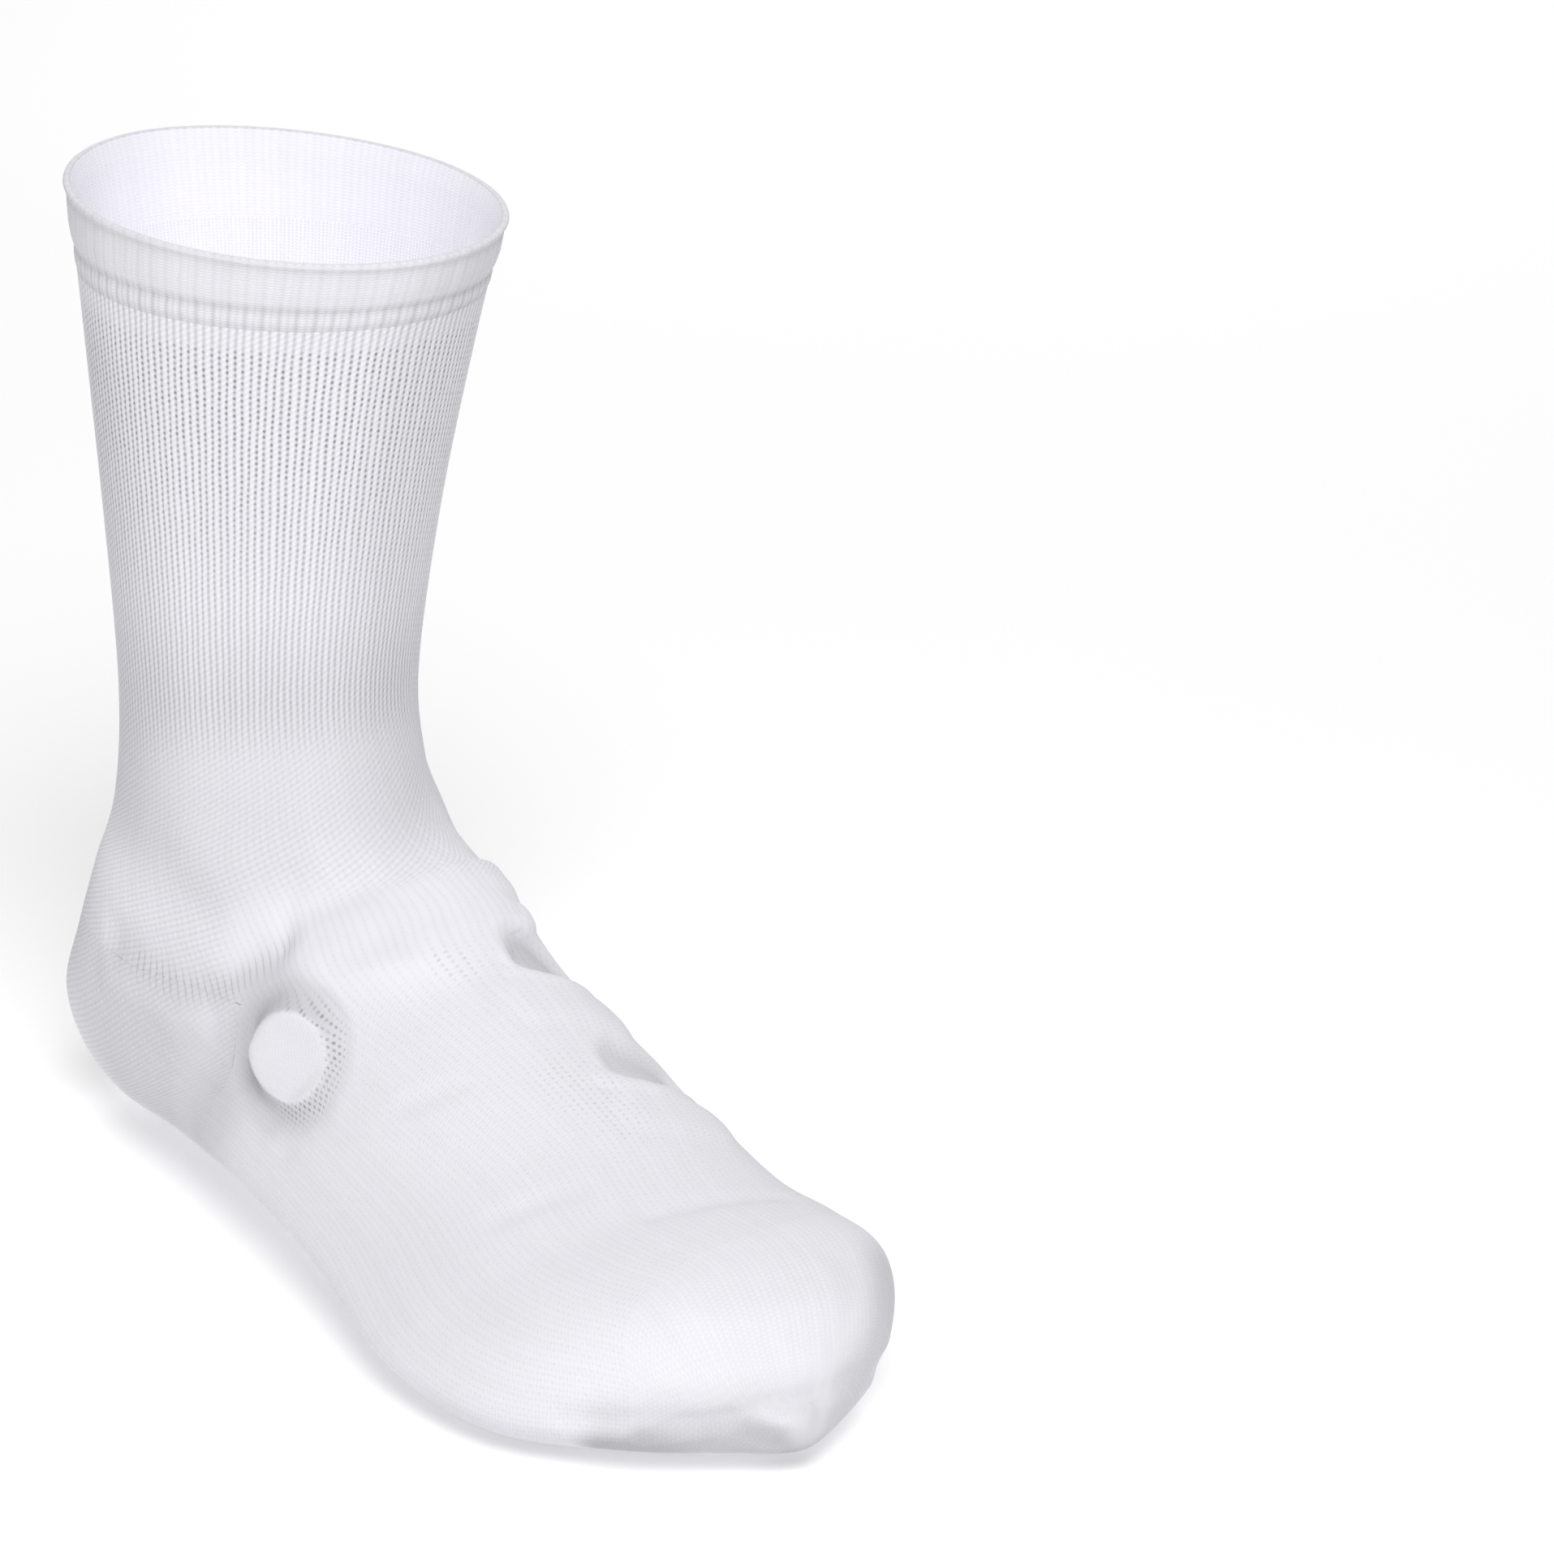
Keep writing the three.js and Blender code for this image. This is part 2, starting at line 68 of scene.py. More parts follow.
# front and back are the two ends of a section on the middle plane of the foot. half is half its
# width, shift moves it sideways, and lean slides its front inwards against its back. ridge is
# where it is widest, from 0 at the back to 1 at the front, and the powers square off its two
# halves: 2 is an ellipse, and more is boxier.
SECTION_COLUMNS = (
    "front_x", "front_z", "back_x", "back_z", "half", "shift", "lean", "ridge", "front_power", "back_power",
)
SECTIONS = np.array([
    # front_x front_z back_x back_z half  shift  lean ridge  powers
    [56.5, 229.5, -54.0, 237.5, 47.0, 3.0, 8.0, 0.51, 2.0, 1.9],  # 0 rim
    [47.5, 204.0, -47.5, 206.0, 44.5, 2.0, 7.0, 0.51, 2.0, 1.9],  # 1 below the welt
    [38.0, 159.0, -41.5, 158.0, 39.0, 1.0, 6.0, 0.50, 1.9, 2.0],  # 2 foot of the calf
    [32.5, 118.5, -37.0, 112.0, 35.0, -0.5, 6.0, 0.50, 1.9, 2.0],  # 3 narrowest
    [35.5, 99.0, -42.0, 79.5, 34.0, -0.5, 7.5, 0.50, 2.0, 2.0],  # 4 ankle
    [41.0, 85.5, -56.5, 56.0, 35.0, 2.0, 7.5, 0.48, 2.1, 2.1],  # 5 ankle bones
    [51.5, 77.0, -68.0, 34.0, 36.0, 4.5, 11.0, 0.47, 2.1, 2.2],  # 6 collar of the shoe
    [66.0, 74.0, -73.5, 15.5, 36.5, 4.0, 10.0, 0.46, 2.2, 2.4],  # 7 back of the heel
    [79.0, 71.5, -66.0, 1.0, 36.5, 3.0, 4.0, 0.46, 2.3, 2.6],  # 8 tongue of the shoe
    [88.5, 64.5, -43.5, -4.5, 36.5, 3.0, 5.5, 0.43, 2.3, 2.8],  # 9 heel of the sole
    [100.5, 59.0, -11.0, -2.5, 37.0, 2.0, 8.5, 0.41, 2.3, 2.9],  # 10 instep
    [115.0, 51.0, 31.0, 0.0, 39.0, -0.5, 14.5, 0.39, 2.3, 3.1],  # 11 arch
    [135.0, 40.5, 77.5, -1.5, 42.5, -3.0, 21.0, 0.37, 2.2, 3.3],  # 12 back of the ball
    [156.0, 33.5, 122.0, -9.0, 47.5, -6.0, 20.5, 0.40, 2.2, 3.5],  # 13 ball
    [175.5, 34.5, 157.5, -13.0, 47.0, -5.0, 15.0, 0.41, 2.3, 3.5],  # 14 roots of the toes
    [191.5, 33.5, 184.0, -11.5, 41.0, -0.5, 9.0, 0.44, 2.3, 2.9],  # 15 toe box
    [204.0, 25.5, 201.0, -10.0, 27.5, 1.5, 3.5, 0.47, 2.2, 2.4],  # 16 end of the toes
    [210.0, 14.0, 211.0, -7.0, 8.5, 1.0, 2.0, 0.50, 2.0, 2.0],  # 17 toe
    [211.5, 3.5, 211.5, 3.5, 0.0, 1.0, 0.0, 0.50, 2.0, 2.0],  # 18 point of the toe
])
LAST_STATION = len(SECTIONS) - 1

# Each edge between two pieces is a station for an angle round the tube.
WELT_EDGE = 0.72
INSTEP_EDGE = 8.1  # where the leg ends and the foot starts, in front of the heel pocket
POCKET_CORNER = 72.0  # degrees from the instep to either corner of the heel pocket
POCKET_TOP = {"back": 5.6, "bend": 3.2}
POCKET_BOTTOM = {"back": 10.4, "bend": 6.0}
TOE_EDGE = np.array([14.6, 14.3, 14.2, 14.6, 15.0, 15.3, 15.4, 14.8])  # one every 45 degrees

# Each row lifts or sinks the skin along a path of points: reach is how far from the path it dies
# away, and flat is the share of the reach that keeps the full rise. Path, reach, flat, rise.
RELIEF = [
    ([[14, -30, 77], [18, -28, 73]], 17, 0.0, 2.2),  # ankle bones
    ([[10, 38, 84], [14, 38, 80]], 18, 0.0, 2.5),
    ([[-24, -34, 47], [16, -33, 48], [38, -25, 64]], 9, 0.0, -1.6),  # hollow over the collar
    ([[-24, 42, 52], [30, 40, 56]], 8, 0.0, -1.4),
    ([[-26, -34, 36], [14, -34, 37]], 9, 0.0, 1.0),  # collar
    ([[-42, 2, 95], [-64, 4, 50]], 12, 0.0, 1.2),  # Achilles tendon
    ([[37, -6, 88], [37, 22, 88]], 13, 0.0, -0.8),  # bend of the ankle
    ([[46, -22, 63], [57, -6, 73], [53, 25, 74]], 13, 0.1, 2.2),  # edge of the tongue
    ([[68, -2, 72], [70, 18, 71]], 11, 0.4, 1.0),  # straps across the instep
    ([[96, 8, 60], [100, 26, 54]], 10, 0.4, 1.2),
    ([[130, 16, 43], [134, 30, 37]], 10, 0.4, 1.2),
    ([[82, 15, 67], [86, 32, 57]], 9, 0.4, -2.5),  # hollows between them
    ([[115, 20, 49], [118, 34, 41]], 9, 0.3, -2.4),
    ([[68, -31, 30], [60, -35, 22]], 8, 0.0, -0.8),  # side of the shoe, below the dial
    ([[93, -29, 43], [104, -20, 50]], 6, 0.0, -1.0),  # creases where the foot bends
    ([[135, -31, 30], [142, -14, 35]], 6, 0.0, -1.0),
    ([[160, -6, 33], [168, 24, 32]], 7, 0.0, -0.8),
    ([[182, -45, 1], [198, -34, 3], [211, -6, 5], [209, 14, 6], [200, 31, 1]], 5, 0.0, -1.0),  # toe seam
    ([[196, -16, 28], [200, 8, 26]], 12, 0.3, 0.8),
]
# The closure dial: a flat disc under the knit, tilted forwards from the side of the shoe. Round it
# the knit runs back to the shoe in a skirt and sinks into a shallow moat. It is turned 5 degrees
# further forwards than in the CAD source, with a softer skirt and moat.
DIAL = {
    "centre": [53.8, -33.2, 41.2],
    "azimuth": 20.0,  # degrees that it turns from straight sideways towards the toe
    "elevation": 10.0,  # degrees that it tips up
    "radius": 10.8,
    "softness": 1.0,  # square of the radius that its rim is rounded to
    "least_lift": 0.8,
    "skirt": 7.0,
    "moat": 0.8,
    "moat_at": 4.0,  # distance past the rim
    "moat_reach": 5.0,
    "depth": 20.0,  # how far behind the disc its effect reaches
}

# The oval opening through the sole, under the ball of the foot. hem_rise is how far its rolled hem
# stands out below the sole.
CLEAT = {"x": 118.0, "y": -11.0, "half_length": 37.0, "half_width": 25.0, "hem_width": 4.0, "hem_rise": 0.6}

# ------------------------------------------------------------------ what the solids leave out

TOE_CREASE = [[195, -34, -1], [202, -26, 2], [207, -18, 3], [209, -12, 0], [210, -7, -3], [200, 9, -7]]
BELOW_CREASE = [
    [186, -37, -6], [193, -33, -6], [198, -27, -5], [203, -21, -4],
    [207, -14, -4], [209, -8, -6], [204, 2, -10],
]
# Finer folds of the cloth, in the same columns as the relief.
FOLDS = [
    ([[31, -15, 84], [33, -20, 68], [36, -23, 62]], 5, 0.0, -0.6),  # crease up the ankle
    ([[53, 14, 75], [50, 26, 74]], 5, 0.1, 0.9),  # edges of the tongue and straps
    ([[66, 26, 70], [74, 22, 69], [79, 12, 69], [84, 8, 67]], 3.5, 0.2, 0.9),
    ([[88, 8, 65], [92, 16, 62], [90, 30, 54]], 3.5, 0.2, 1.0),
    ([[120, 10, 48], [125, 21, 44], [123, 32, 39]], 3.5, 0.2, 1.0),
    (TOE_CREASE, 4.5, 0.0, -1.0),
    ([[209, -8, 3], [210, -1, 1]], 5, 0.2, 0.8),
]

# How far the knit is stretched open: path, reach, flat, openness added.
STRETCH = [
    ([[79, -7, 68], [84, -3, 67]], 6, 0.1, 0.3),
    ([[118, 2, 50], [130, 8, 43]], 12, 0.1, 0.2),
]
# Where the wales part: path, reach, flat, darkness of the gaps.
PARTING = [
    ([[-14, -33, 43], [6, -33, 43], [24, -31, 49], [38, -23, 62]], 5, 0.2, 0.65),
    ([[44, -30, 54], [56, -28, 56]], 4, 0.0, 0.3),
]
# Where the stitches lie flat and smooth: path, reach, flat, smoothness.
SMOOTH = [
    # across the strap, where the stitches lie smooth and the lighter yarn also paints its highlight
    ([[32, -26, 60], [50, -20, 66], [66, -6, 72], [70, 20, 70]], 20, 0.5, 1.0),
    ([[16, -36, 8], [12, -36, 40]], 16, 0.2, 0.7),
    ([[211, 1, 6], [211, 1, 2]], 7, 0.2, 1.0),  # point of the toe
]
# Painted shade: where the cloth is painted darker for the shade that falls on it, in hollows and creases,
# under the toe and along the sides that turn away from the light: path, reach, flat, depth.
PAINTED_SHADE = [
    ([[-12, -38, 193], [-10, -36, 157], [-6, -34, 117], [-12, -32, 84]], 22, 0.1, 0.18),  # leg, outer side
    ([[0, 0, 106], [0, 0, 92]], 52, 0.55, 0.19),  # ankle
    ([[36, 10, 108], [40, 8, 93]], 22, 0.1, 0.12),
    ([[48, 16, 215], [44, 14, 199], [38, 10, 161], [33, 12, 130]], 24, 0.1, 0.12),  # leg, inner side
    ([[-55, -5, 50], [-20, -30, 19], [12, -36, 20]], 34, 0.2, 0.24),  # heel
    ([[20, -36, 12], [30, -36, 26], [34, -36, 50]], 16, 0.1, 0.12),  # behind the dial
    ([[82, 15, 67], [85, 27, 60]], 9, 0.2, 0.38),  # hollows between the straps
    ([[115, 20, 49], [117, 30, 44]], 9, 0.1, 0.30),
    ([[-22, -33, 44], [6, -33, 43], [24, -31, 49], [38, -23, 62]], 8, 0.0, 0.15),  # hollow over the collar
    # edge of the sole
    ([[60, -30, -2], [120, -42, -8], [150, -50, -10], [180, -43, -12], [195, -31, -12]], 14, 0.1, 0.25),
    # in the crease of the toe, below it and above it
    (TOE_CREASE, 4, 0.0, 0.14),
    (BELOW_CREASE, 9, 0.2, 0.54),
    ([[190, -38, 3], [200, -28, 6], [209, -12, 6], [211, -1, 6]], 9, 0.0, 0.18),
    ([[198, 34, 22], [206, 24, 9], [209, 12, 0], [210, 4, -4]], 13, 0.1, 0.32),  # inner side of the toe
]

# ------------------------------------------------------------------ the skin

# A section more at each end, for the curve between the sections.
PADDED_SECTIONS = np.vstack([2 * SECTIONS[0] - SECTIONS[1], SECTIONS, 2 * SECTIONS[-1] - SECTIONS[-2]])


def even(count):
    """Even shares from 0 to 1."""
    return np.linspace(0, 1, count + 1)


def catmull_rom(before, start, end, after, share):
    """A value between start and end, on a Catmull-Rom curve through four evenly spaced ones."""
    slope_in = (end - before) / 2
    slope_out = (after - start) / 2
    cubic = 2 * start - 2 * end + slope_in + slope_out
    square = -3 * start + 3 * end - 2 * slope_in - slope_out
    return ((cubic * share + square) * share + slope_in) * share + start


def section_at(station):
    """The section's values at any stations, by column name."""
    index = np.clip(np.floor(station), 0, LAST_STATION - 1).astype(int)
    share = station - index
    rows = [PADDED_SECTIONS[index + step] for step in range(4)]
    return {
        name: catmull_rom(*(row[..., column] for row in rows), share)
        for column, name in enumerate(SECTION_COLUMNS)
    }


def signed_power(base, power):
    return np.sign(base) * np.abs(base) ** power


def tube_point(station, angle):
    """Points of the smooth tube, in an array that ends in x, y, z."""
    station, angle = np.broadcast_arrays(np.asarray(station, float), np.asarray(angle, float))
    section = section_at(station)
    cosine, sine = np.cos(np.radians(angle)), np.sin(np.radians(angle))
    power = np.where(cosine >= 0, section["front_power"], section["back_power"])
    along, across = signed_power(cosine, 2 / power), signed_power(sine, 2 / power)
    to_front = section["ridge"] + np.where(along >= 0, 1 - section["ridge"], section["ridge"]) * along
    x = section["back_x"] + (section["front_x"] - section["back_x"]) * to_front
    y = section["shift"] + section["half"] * across + section["lean"] * (to_front - section["ridge"])
    z = section["back_z"] + (section["front_z"] - section["back_z"]) * to_front
    return np.stack([x, y, z], axis=-1)


def tube_normal(station, angle):
    """Unit normals of the tube, pointing out."""
    station_step, angle_step = 0.01, 1.0
    middle = np.minimum(station, LAST_STATION - 2 * station_step)
    lengthwise = tube_point(middle + station_step, angle) - tube_point(middle - station_step, angle)
    round_it = tube_point(middle, angle + angle_step) - tube_point(middle, angle - angle_step)
    normal = np.cross(lengthwise, round_it)
    return normal / np.linalg.norm(normal, axis=-1, keepdims=True)


def smoothstep(share, low, high):
    """0 at low and 1 at high, with a smooth run between them."""
    t = np.clip((share - low) / (high - low), 0, 1)
    return t * t * (3 - 2 * t)


def distance_to_path(points, path):
    """How far each point lies from a path of straight stretches."""
    path = np.asarray(path, float)
    nearest = np.full(points.shape[:-1], np.inf)
    for start, end in zip(path[:-1], path[1:]):
        stretch = end - start
        share = np.clip((points - start) @ stretch / (stretch @ stretch), 0, 1)
        away = points - start - share[..., None] * stretch
        nearest = np.minimum(nearest, np.linalg.norm(away, axis=-1))
    return nearest


def sum_of_rows(points, rows):
    """What a table of paths adds at each point."""
    total = np.zeros(points.shape[:-1])
    for path, reach, flat, rise in rows:
        total += rise * (1 - smoothstep(distance_to_path(points, path) / reach, flat, 1))
    return total


def direction(azimuth, elevation):
    """A unit vector, azimuth degrees from the outer side towards the toe and elevation degrees up."""
    a, e = math.radians(azimuth), math.radians(elevation)
    return Vector((math.sin(a) * math.cos(e), -math.cos(a) * math.cos(e), math.sin(e)))


DIAL_FACING = np.array(direction(DIAL["azimuth"], DIAL["elevation"]))
FAR_OFF = 99.0  # past its rim, for points too deep behind the disc for it to show


def place_by_dial(points):
    """How far points lie behind the plane of the disc, past its rim, and towards its front edge."""
    away = np.array(DIAL["centre"]) - points
    behind = away @ DIAL_FACING
    outwards = behind[..., None] * DIAL_FACING - away
    from_axis = np.linalg.norm(outwards, axis=-1)
    past_rim = np.where(np.abs(behind) < DIAL["depth"], from_axis - DIAL["radius"], FAR_OFF)
    return behind, past_rim, outwards[..., 0] / np.maximum(from_axis, 0.1)


def dial_lift(points, normals):
    """How far the dial holds the skin out."""
    behind, past_rim, _ = place_by_dial(points)
    rounded = (np.sqrt(past_rim ** 2 + DIAL["softness"]) + past_rim) / 2
    cover = (1 - np.clip(rounded / DIAL["skirt"], 0, 1)) ** 2
    lift = np.maximum(behind, DIAL["least_lift"]) / np.maximum(normals @ DIAL_FACING, 0.3)
    moat = 1 - smoothstep(np.abs(past_rim - DIAL["moat_at"]) / DIAL["moat_reach"], 0, 1)
    return lift * cover - DIAL["moat"] * moat


def skin(station, angle, lift):
    """Points of the knit, lifted off the smooth tube by lift and by what shows through it."""
    points = tube_point(station, angle)
    normals = tube_normal(station, angle)
    rise = sum_of_rows(points, RELIEF) + sum_of_rows(points, FOLDS) + dial_lift(points, normals) + lift
    return points + normals * rise[..., None]


# ------------------------------------------------------------------ wales and courses

WALES = 150
PITCH = 1.5  # length of a course
TOE_PITCH = 2.0
PER_WALE = 4  # mesh columns to a wale
HALF_WALES = WALES / 2
COLUMN_WALES = np.arange(WALES * PER_WALE) / PER_WALE
RINGS_PER_STATION = 16


def eased_angle(turn):
    """Degrees for a share of a turn, closest together where the boxy sections change fastest."""
    quarter = np.floor(turn * 4)
    return 90 * (quarter + (1 - np.cos(np.pi * (turn * 4 - quarter))) / 2)


def measure_rings():
    """For rings close together along the tube: each half's length, and the turn of each column."""
    stations = np.linspace(0, LAST_STATION, LAST_STATION * RINGS_PER_STATION + 1)
    turns = even(720)
    middle = len(turns) // 2
    short_of_point = np.minimum(stations, LAST_STATION - 0.05)[:, None]
    points = tube_point(short_of_point, eased_angle(turns))
    steps = np.linalg.norm(np.diff(points, axis=1), axis=2)
    walked = np.concatenate([np.zeros((len(stations), 1)), np.cumsum(steps, axis=1)], axis=1)
    first, whole = walked[:, middle], walked[:, -1]
    wales = np.arange(WALES * PER_WALE + 1) / PER_WALE
    share = wales / HALF_WALES
    table = np.empty((len(stations), len(wales)))
    for i in range(len(stations)):
        target = np.where(share <= 1, share * first[i], first[i] + (share - 1) * (whole[i] - first[i]))
        table[i] = np.interp(target, walked[i], turns)
    return stations, first, whole - first, table


RING_STATIONS, RING_INNER, RING_OUTER, RING_TURNS = measure_rings()


def half_lengths(station):
    """Lengths round the tube's inner and outer halves."""
    return [np.interp(station, RING_STATIONS, ring) for ring in (RING_INNER, RING_OUTER)]


def angle_of(station, wale):
    """The angle at which a wale crosses a station, between the rings and columns measured."""
    row = np.clip(station / LAST_STATION, 0, 1) * (len(RING_STATIONS) - 1)
    column = np.mod(wale, WALES) * PER_WALE
    i = np.minimum(row.astype(int), len(RING_STATIONS) - 2)
    j = np.minimum(column.astype(int), WALES * PER_WALE - 1)
    down, across = row - i, column - j
    upper = RING_TURNS[i, j] * (1 - across) + RING_TURNS[i, j + 1] * across
    lower = RING_TURNS[i + 1, j] * (1 - across) + RING_TURNS[i + 1, j + 1] * across
    return eased_angle(upper * (1 - down) + lower * down)


def pocket_share(angle):
    """0 up to a corner of the heel pocket and 1 at the middle of its back."""
    from_instep = np.where(angle > 180, 360 - angle, angle)
    return np.maximum((from_instep - POCKET_CORNER) / (180 - POCKET_CORNER), 0)


def pocket_edge(shape):
    """The edge that runs level over the instep and swings up or down round the heel pocket."""
    def edge(angle):
        swing = 1 - (1 - pocket_share(angle)) ** shape["bend"]
        return INSTEP_EDGE + (shape["back"] - INSTEP_EDGE) * swing
    return edge


def toe_edge(angle):
    """A smooth closed curve through the stations in TOE_EDGE."""
    place = np.mod(angle, 360) / (360 / len(TOE_EDGE))
    index = place.astype(int)
    knots = [TOE_EDGE[np.mod(index + step, len(TOE_EDGE))] for step in (-1, 0, 1, 2)]
    return catmull_rom(*knots, place - index)


def rim(angle):
    return np.zeros_like(angle)


def welt_edge(angle):
    return np.full_like(angle, WELT_EDGE)


def toe_point(angle):
    return np.full_like(angle, LAST_STATION)


leg_edge = pocket_edge(POCKET_TOP)
foot_edge = pocket_edge(POCKET_BOTTOM)


def edge_stations(edge, wales):
    """The station at which each wale meets an edge."""
    station = edge(wales / WALES * 360)
    for _ in range(12):
        station = (station + edge(angle_of(station, wales))) / 2
    return station


def lay_courses(first, second, wales, shares):
    """Stations of a grid whose rows lie at even distances along each wale, and the wales' lengths."""
    fine = even(120)[:, None]
    start, end = edge_stations(first, wales), edge_stations(second, wales)
    stations = start + (end - start) * fine
    points = tube_point(stations, angle_of(stations, wales[None, :]))
    steps = np.linalg.norm(np.diff(points, axis=0), axis=2)
    walked = np.concatenate([np.zeros((1, len(wales))), np.cumsum(steps, axis=0)])
    columns = [
        np.interp(shares * walked[-1, j], walked[:, j], stations[:, j]) if walked[-1, j] > 0
        else np.full(len(shares), stations[0, j])
        for j in range(len(wales))
    ]
    return np.stack(columns, axis=1), walked[-1]


def wander(wale, course):
    """How far a wale strays sideways, in wales: worn knit is never quite even."""
    slow = np.sin(0.31 * wale + 1.3 * np.sin(0.043 * course)) * np.sin(0.11 * course + 0.7 * wale)
    quick = np.sin(2.3 * wale + 0.37 * course) * np.sin(1.7 * wale - 0.29 * course + 1.1)
    return 0.10 * slow + 0.06 * quick


# ------------------------------------------------------------------ meshes

def grid_faces(index, left, right):
    """Quads over a grid of vertex indices that face out, with the texture place of each corner."""
    corners = np.stack([index[:-1, :-1], index[1:, :-1], index[1:, 1:], index[:-1, 1:]], axis=2)
    places = np.stack([left[:-1, :-1], left[1:, :-1], right[1:, 1:], right[:-1, 1:]], axis=2)
    return corners.reshape(-1, 4), places.reshape(-1, 4, 2)


def close_round(index, left, right):
    """The same grid with its first column again at the end, one turn of wales on."""
    turn = np.array([WALES, 0.0])
    return (
        np.concatenate([index, index[:, :1]], axis=1),
        np.concatenate([left, left[:, :1] + turn], axis=1),
        np.concatenate([right, right[:, :1] + turn], axis=1),
    )


def band_faces(index, left, right):
    """Faces over a grid that closes on itself both ways, with the texture place of each corner."""
    joined = [np.concatenate([rows, rows[:1]]) for rows in (index, left, right)]
    return grid_faces(*close_round(*joined))


SHARP_ANGLE = 60  # degrees


def mesh_object(name, points, faces, places, inside, texture, materials):
    """A smooth-shaded object from arrays. inside says which faces take the second material, and
    texture holds what texture_of gives at each point."""
    mesh = bpy.data.meshes.new(name)
    mesh.vertices.add(len(points))
    mesh.vertices.foreach_set("co", (points * MM).astype(np.float32).ravel())
    mesh.loops.add(faces.size)
    mesh.loops.foreach_set("vertex_index", faces.astype(np.int32).ravel())
    mesh.polygons.add(len(faces))
    mesh.polygons.foreach_set("loop_start", np.arange(0, faces.size, 4, dtype=np.int32))
    mesh.polygons.foreach_set("material_index", inside.astype(np.int32))
    knit_map = mesh.uv_layers.new(name="knit")
    knit_map.data.foreach_set("uv", places.astype(np.float32).ravel())
    for name_of_value, values in texture.items():
        attribute = mesh.attributes.new(name_of_value, "FLOAT", "POINT")
        attribute.data.foreach_set("value", values.astype(np.float32).ravel())
    mesh.update(calc_edges=True)
    mesh.validate()
    for material in materials:
        mesh.materials.append(material)
    mesh.shade_smooth()
    mesh.set_sharp_from_angle(angle=math.radians(SHARP_ANGLE))
    thing = bpy.data.objects.new(name, mesh)
    bpy.context.scene.collection.objects.link(thing)
    return thing


def shell(name, outer, inner, closed, materials):
    """A closed wall between two grids with the same columns, as wall_grid makes them."""
    count = outer["points"].shape[0] * outer["points"].shape[1]
    out_index = np.arange(count).reshape(outer["points"].shape[:2])
    in_shape = inner["points"].shape[:2]
    in_index = count + np.arange(in_shape[0] * in_shape[1]).reshape(in_shape)
    first_rim = np.stack([in_index[0], out_index[0]])
    last_rim = np.stack([out_index[-1], in_index[-1]])
    strips = [
        (out_index, outer["left"], outer["right"], False),
        (in_index[::-1], inner["left"][::-1], inner["right"][::-1], True),
        (first_rim, *(np.stack([outer[side][0]] * 2) for side in ("left", "right")), False),
        (last_rim, *(np.stack([outer[side][-1]] * 2) for side in ("left", "right")), False),
    ]
    faces, places, inside = [], [], []
    for index, left, right, is_inside in strips:
        if closed:
            index, left, right = close_round(index, left, right)
        strip_faces, strip_places = grid_faces(index, left, right)
        faces.append(strip_faces)
        places.append(strip_places)
        inside.append(np.full(len(strip_faces), is_inside))
    return mesh_object(
        name,
        np.concatenate([outer["points"].reshape(-1, 3), inner["points"].reshape(-1, 3)]),
        np.concatenate(faces),
        np.concatenate(places),
        np.concatenate(inside),
        {
            key: np.concatenate([outer["texture"][key].ravel(), inner["texture"][key].ravel()])
            for key in outer["texture"]
        },
        materials,
    )


def wave(turns):
    """1 at the whole numbers and 0 halfway between them."""
    return 0.5 + 0.5 * np.cos(2 * np.pi * turns)


def knit_height(wale, course, texture, weave):
    """The relief of the knit: grooves between wales or pairs of them, and rows."""
    grooved = texture["ribbing"] * (weave["rib"] * wave(wale) + weave["pair"] * wave(wale / 2))
    return -(grooved + weave["row"] * wave(course))


def plain_places(wale, course):
    """Where each point is on the knit, the same for the faces on its left and on its right."""
    places = np.stack(np.broadcast_arrays(wale, course), axis=-1)
    return {"left": places, "right": places}


def wall_grid(
    first, second, shares, depth, weave, texture_at, wales=COLUMN_WALES, places=None, pitch=PITCH, start=0,
):
    """One face of a wall: its points, places on the knit, and texture. depth may differ by row. Courses
    are counted along each wale from the edge that start names, 0 for the first and 1 for the second."""
    stations, lengths = lay_courses(first, second, wales, shares)
    wale = np.broadcast_to(wales, stations.shape)
    course = (shares - start)[:, None] * lengths / pitch
    angle = angle_of(stations, wale + wander(wale, course))
    texture = texture_at(stations, tube_point(stations, angle))
    made = plain_places(wale, course) if places is None else places(stations, wale, course)
    u, v = made["left"][..., 0], made["left"][..., 1]
    lift = knit_height(u, v, texture, weave) - depth
    return {"points": skin(stations, angle, lift), "texture": texture, **made}


# Depth of the knit's grooves between wales, between pairs of wales, and between rows.
PLAIN = {"rib": 0.0, "pair": 0.0, "row": 0.0}


def mean_length(first, second):
    """How far two edges are apart along the wales, on average."""
    _, lengths = lay_courses(first, second, COLUMN_WALES[::20], even(2))
    return lengths[lengths > 1].mean()


# ------------------------------------------------------------------ materials

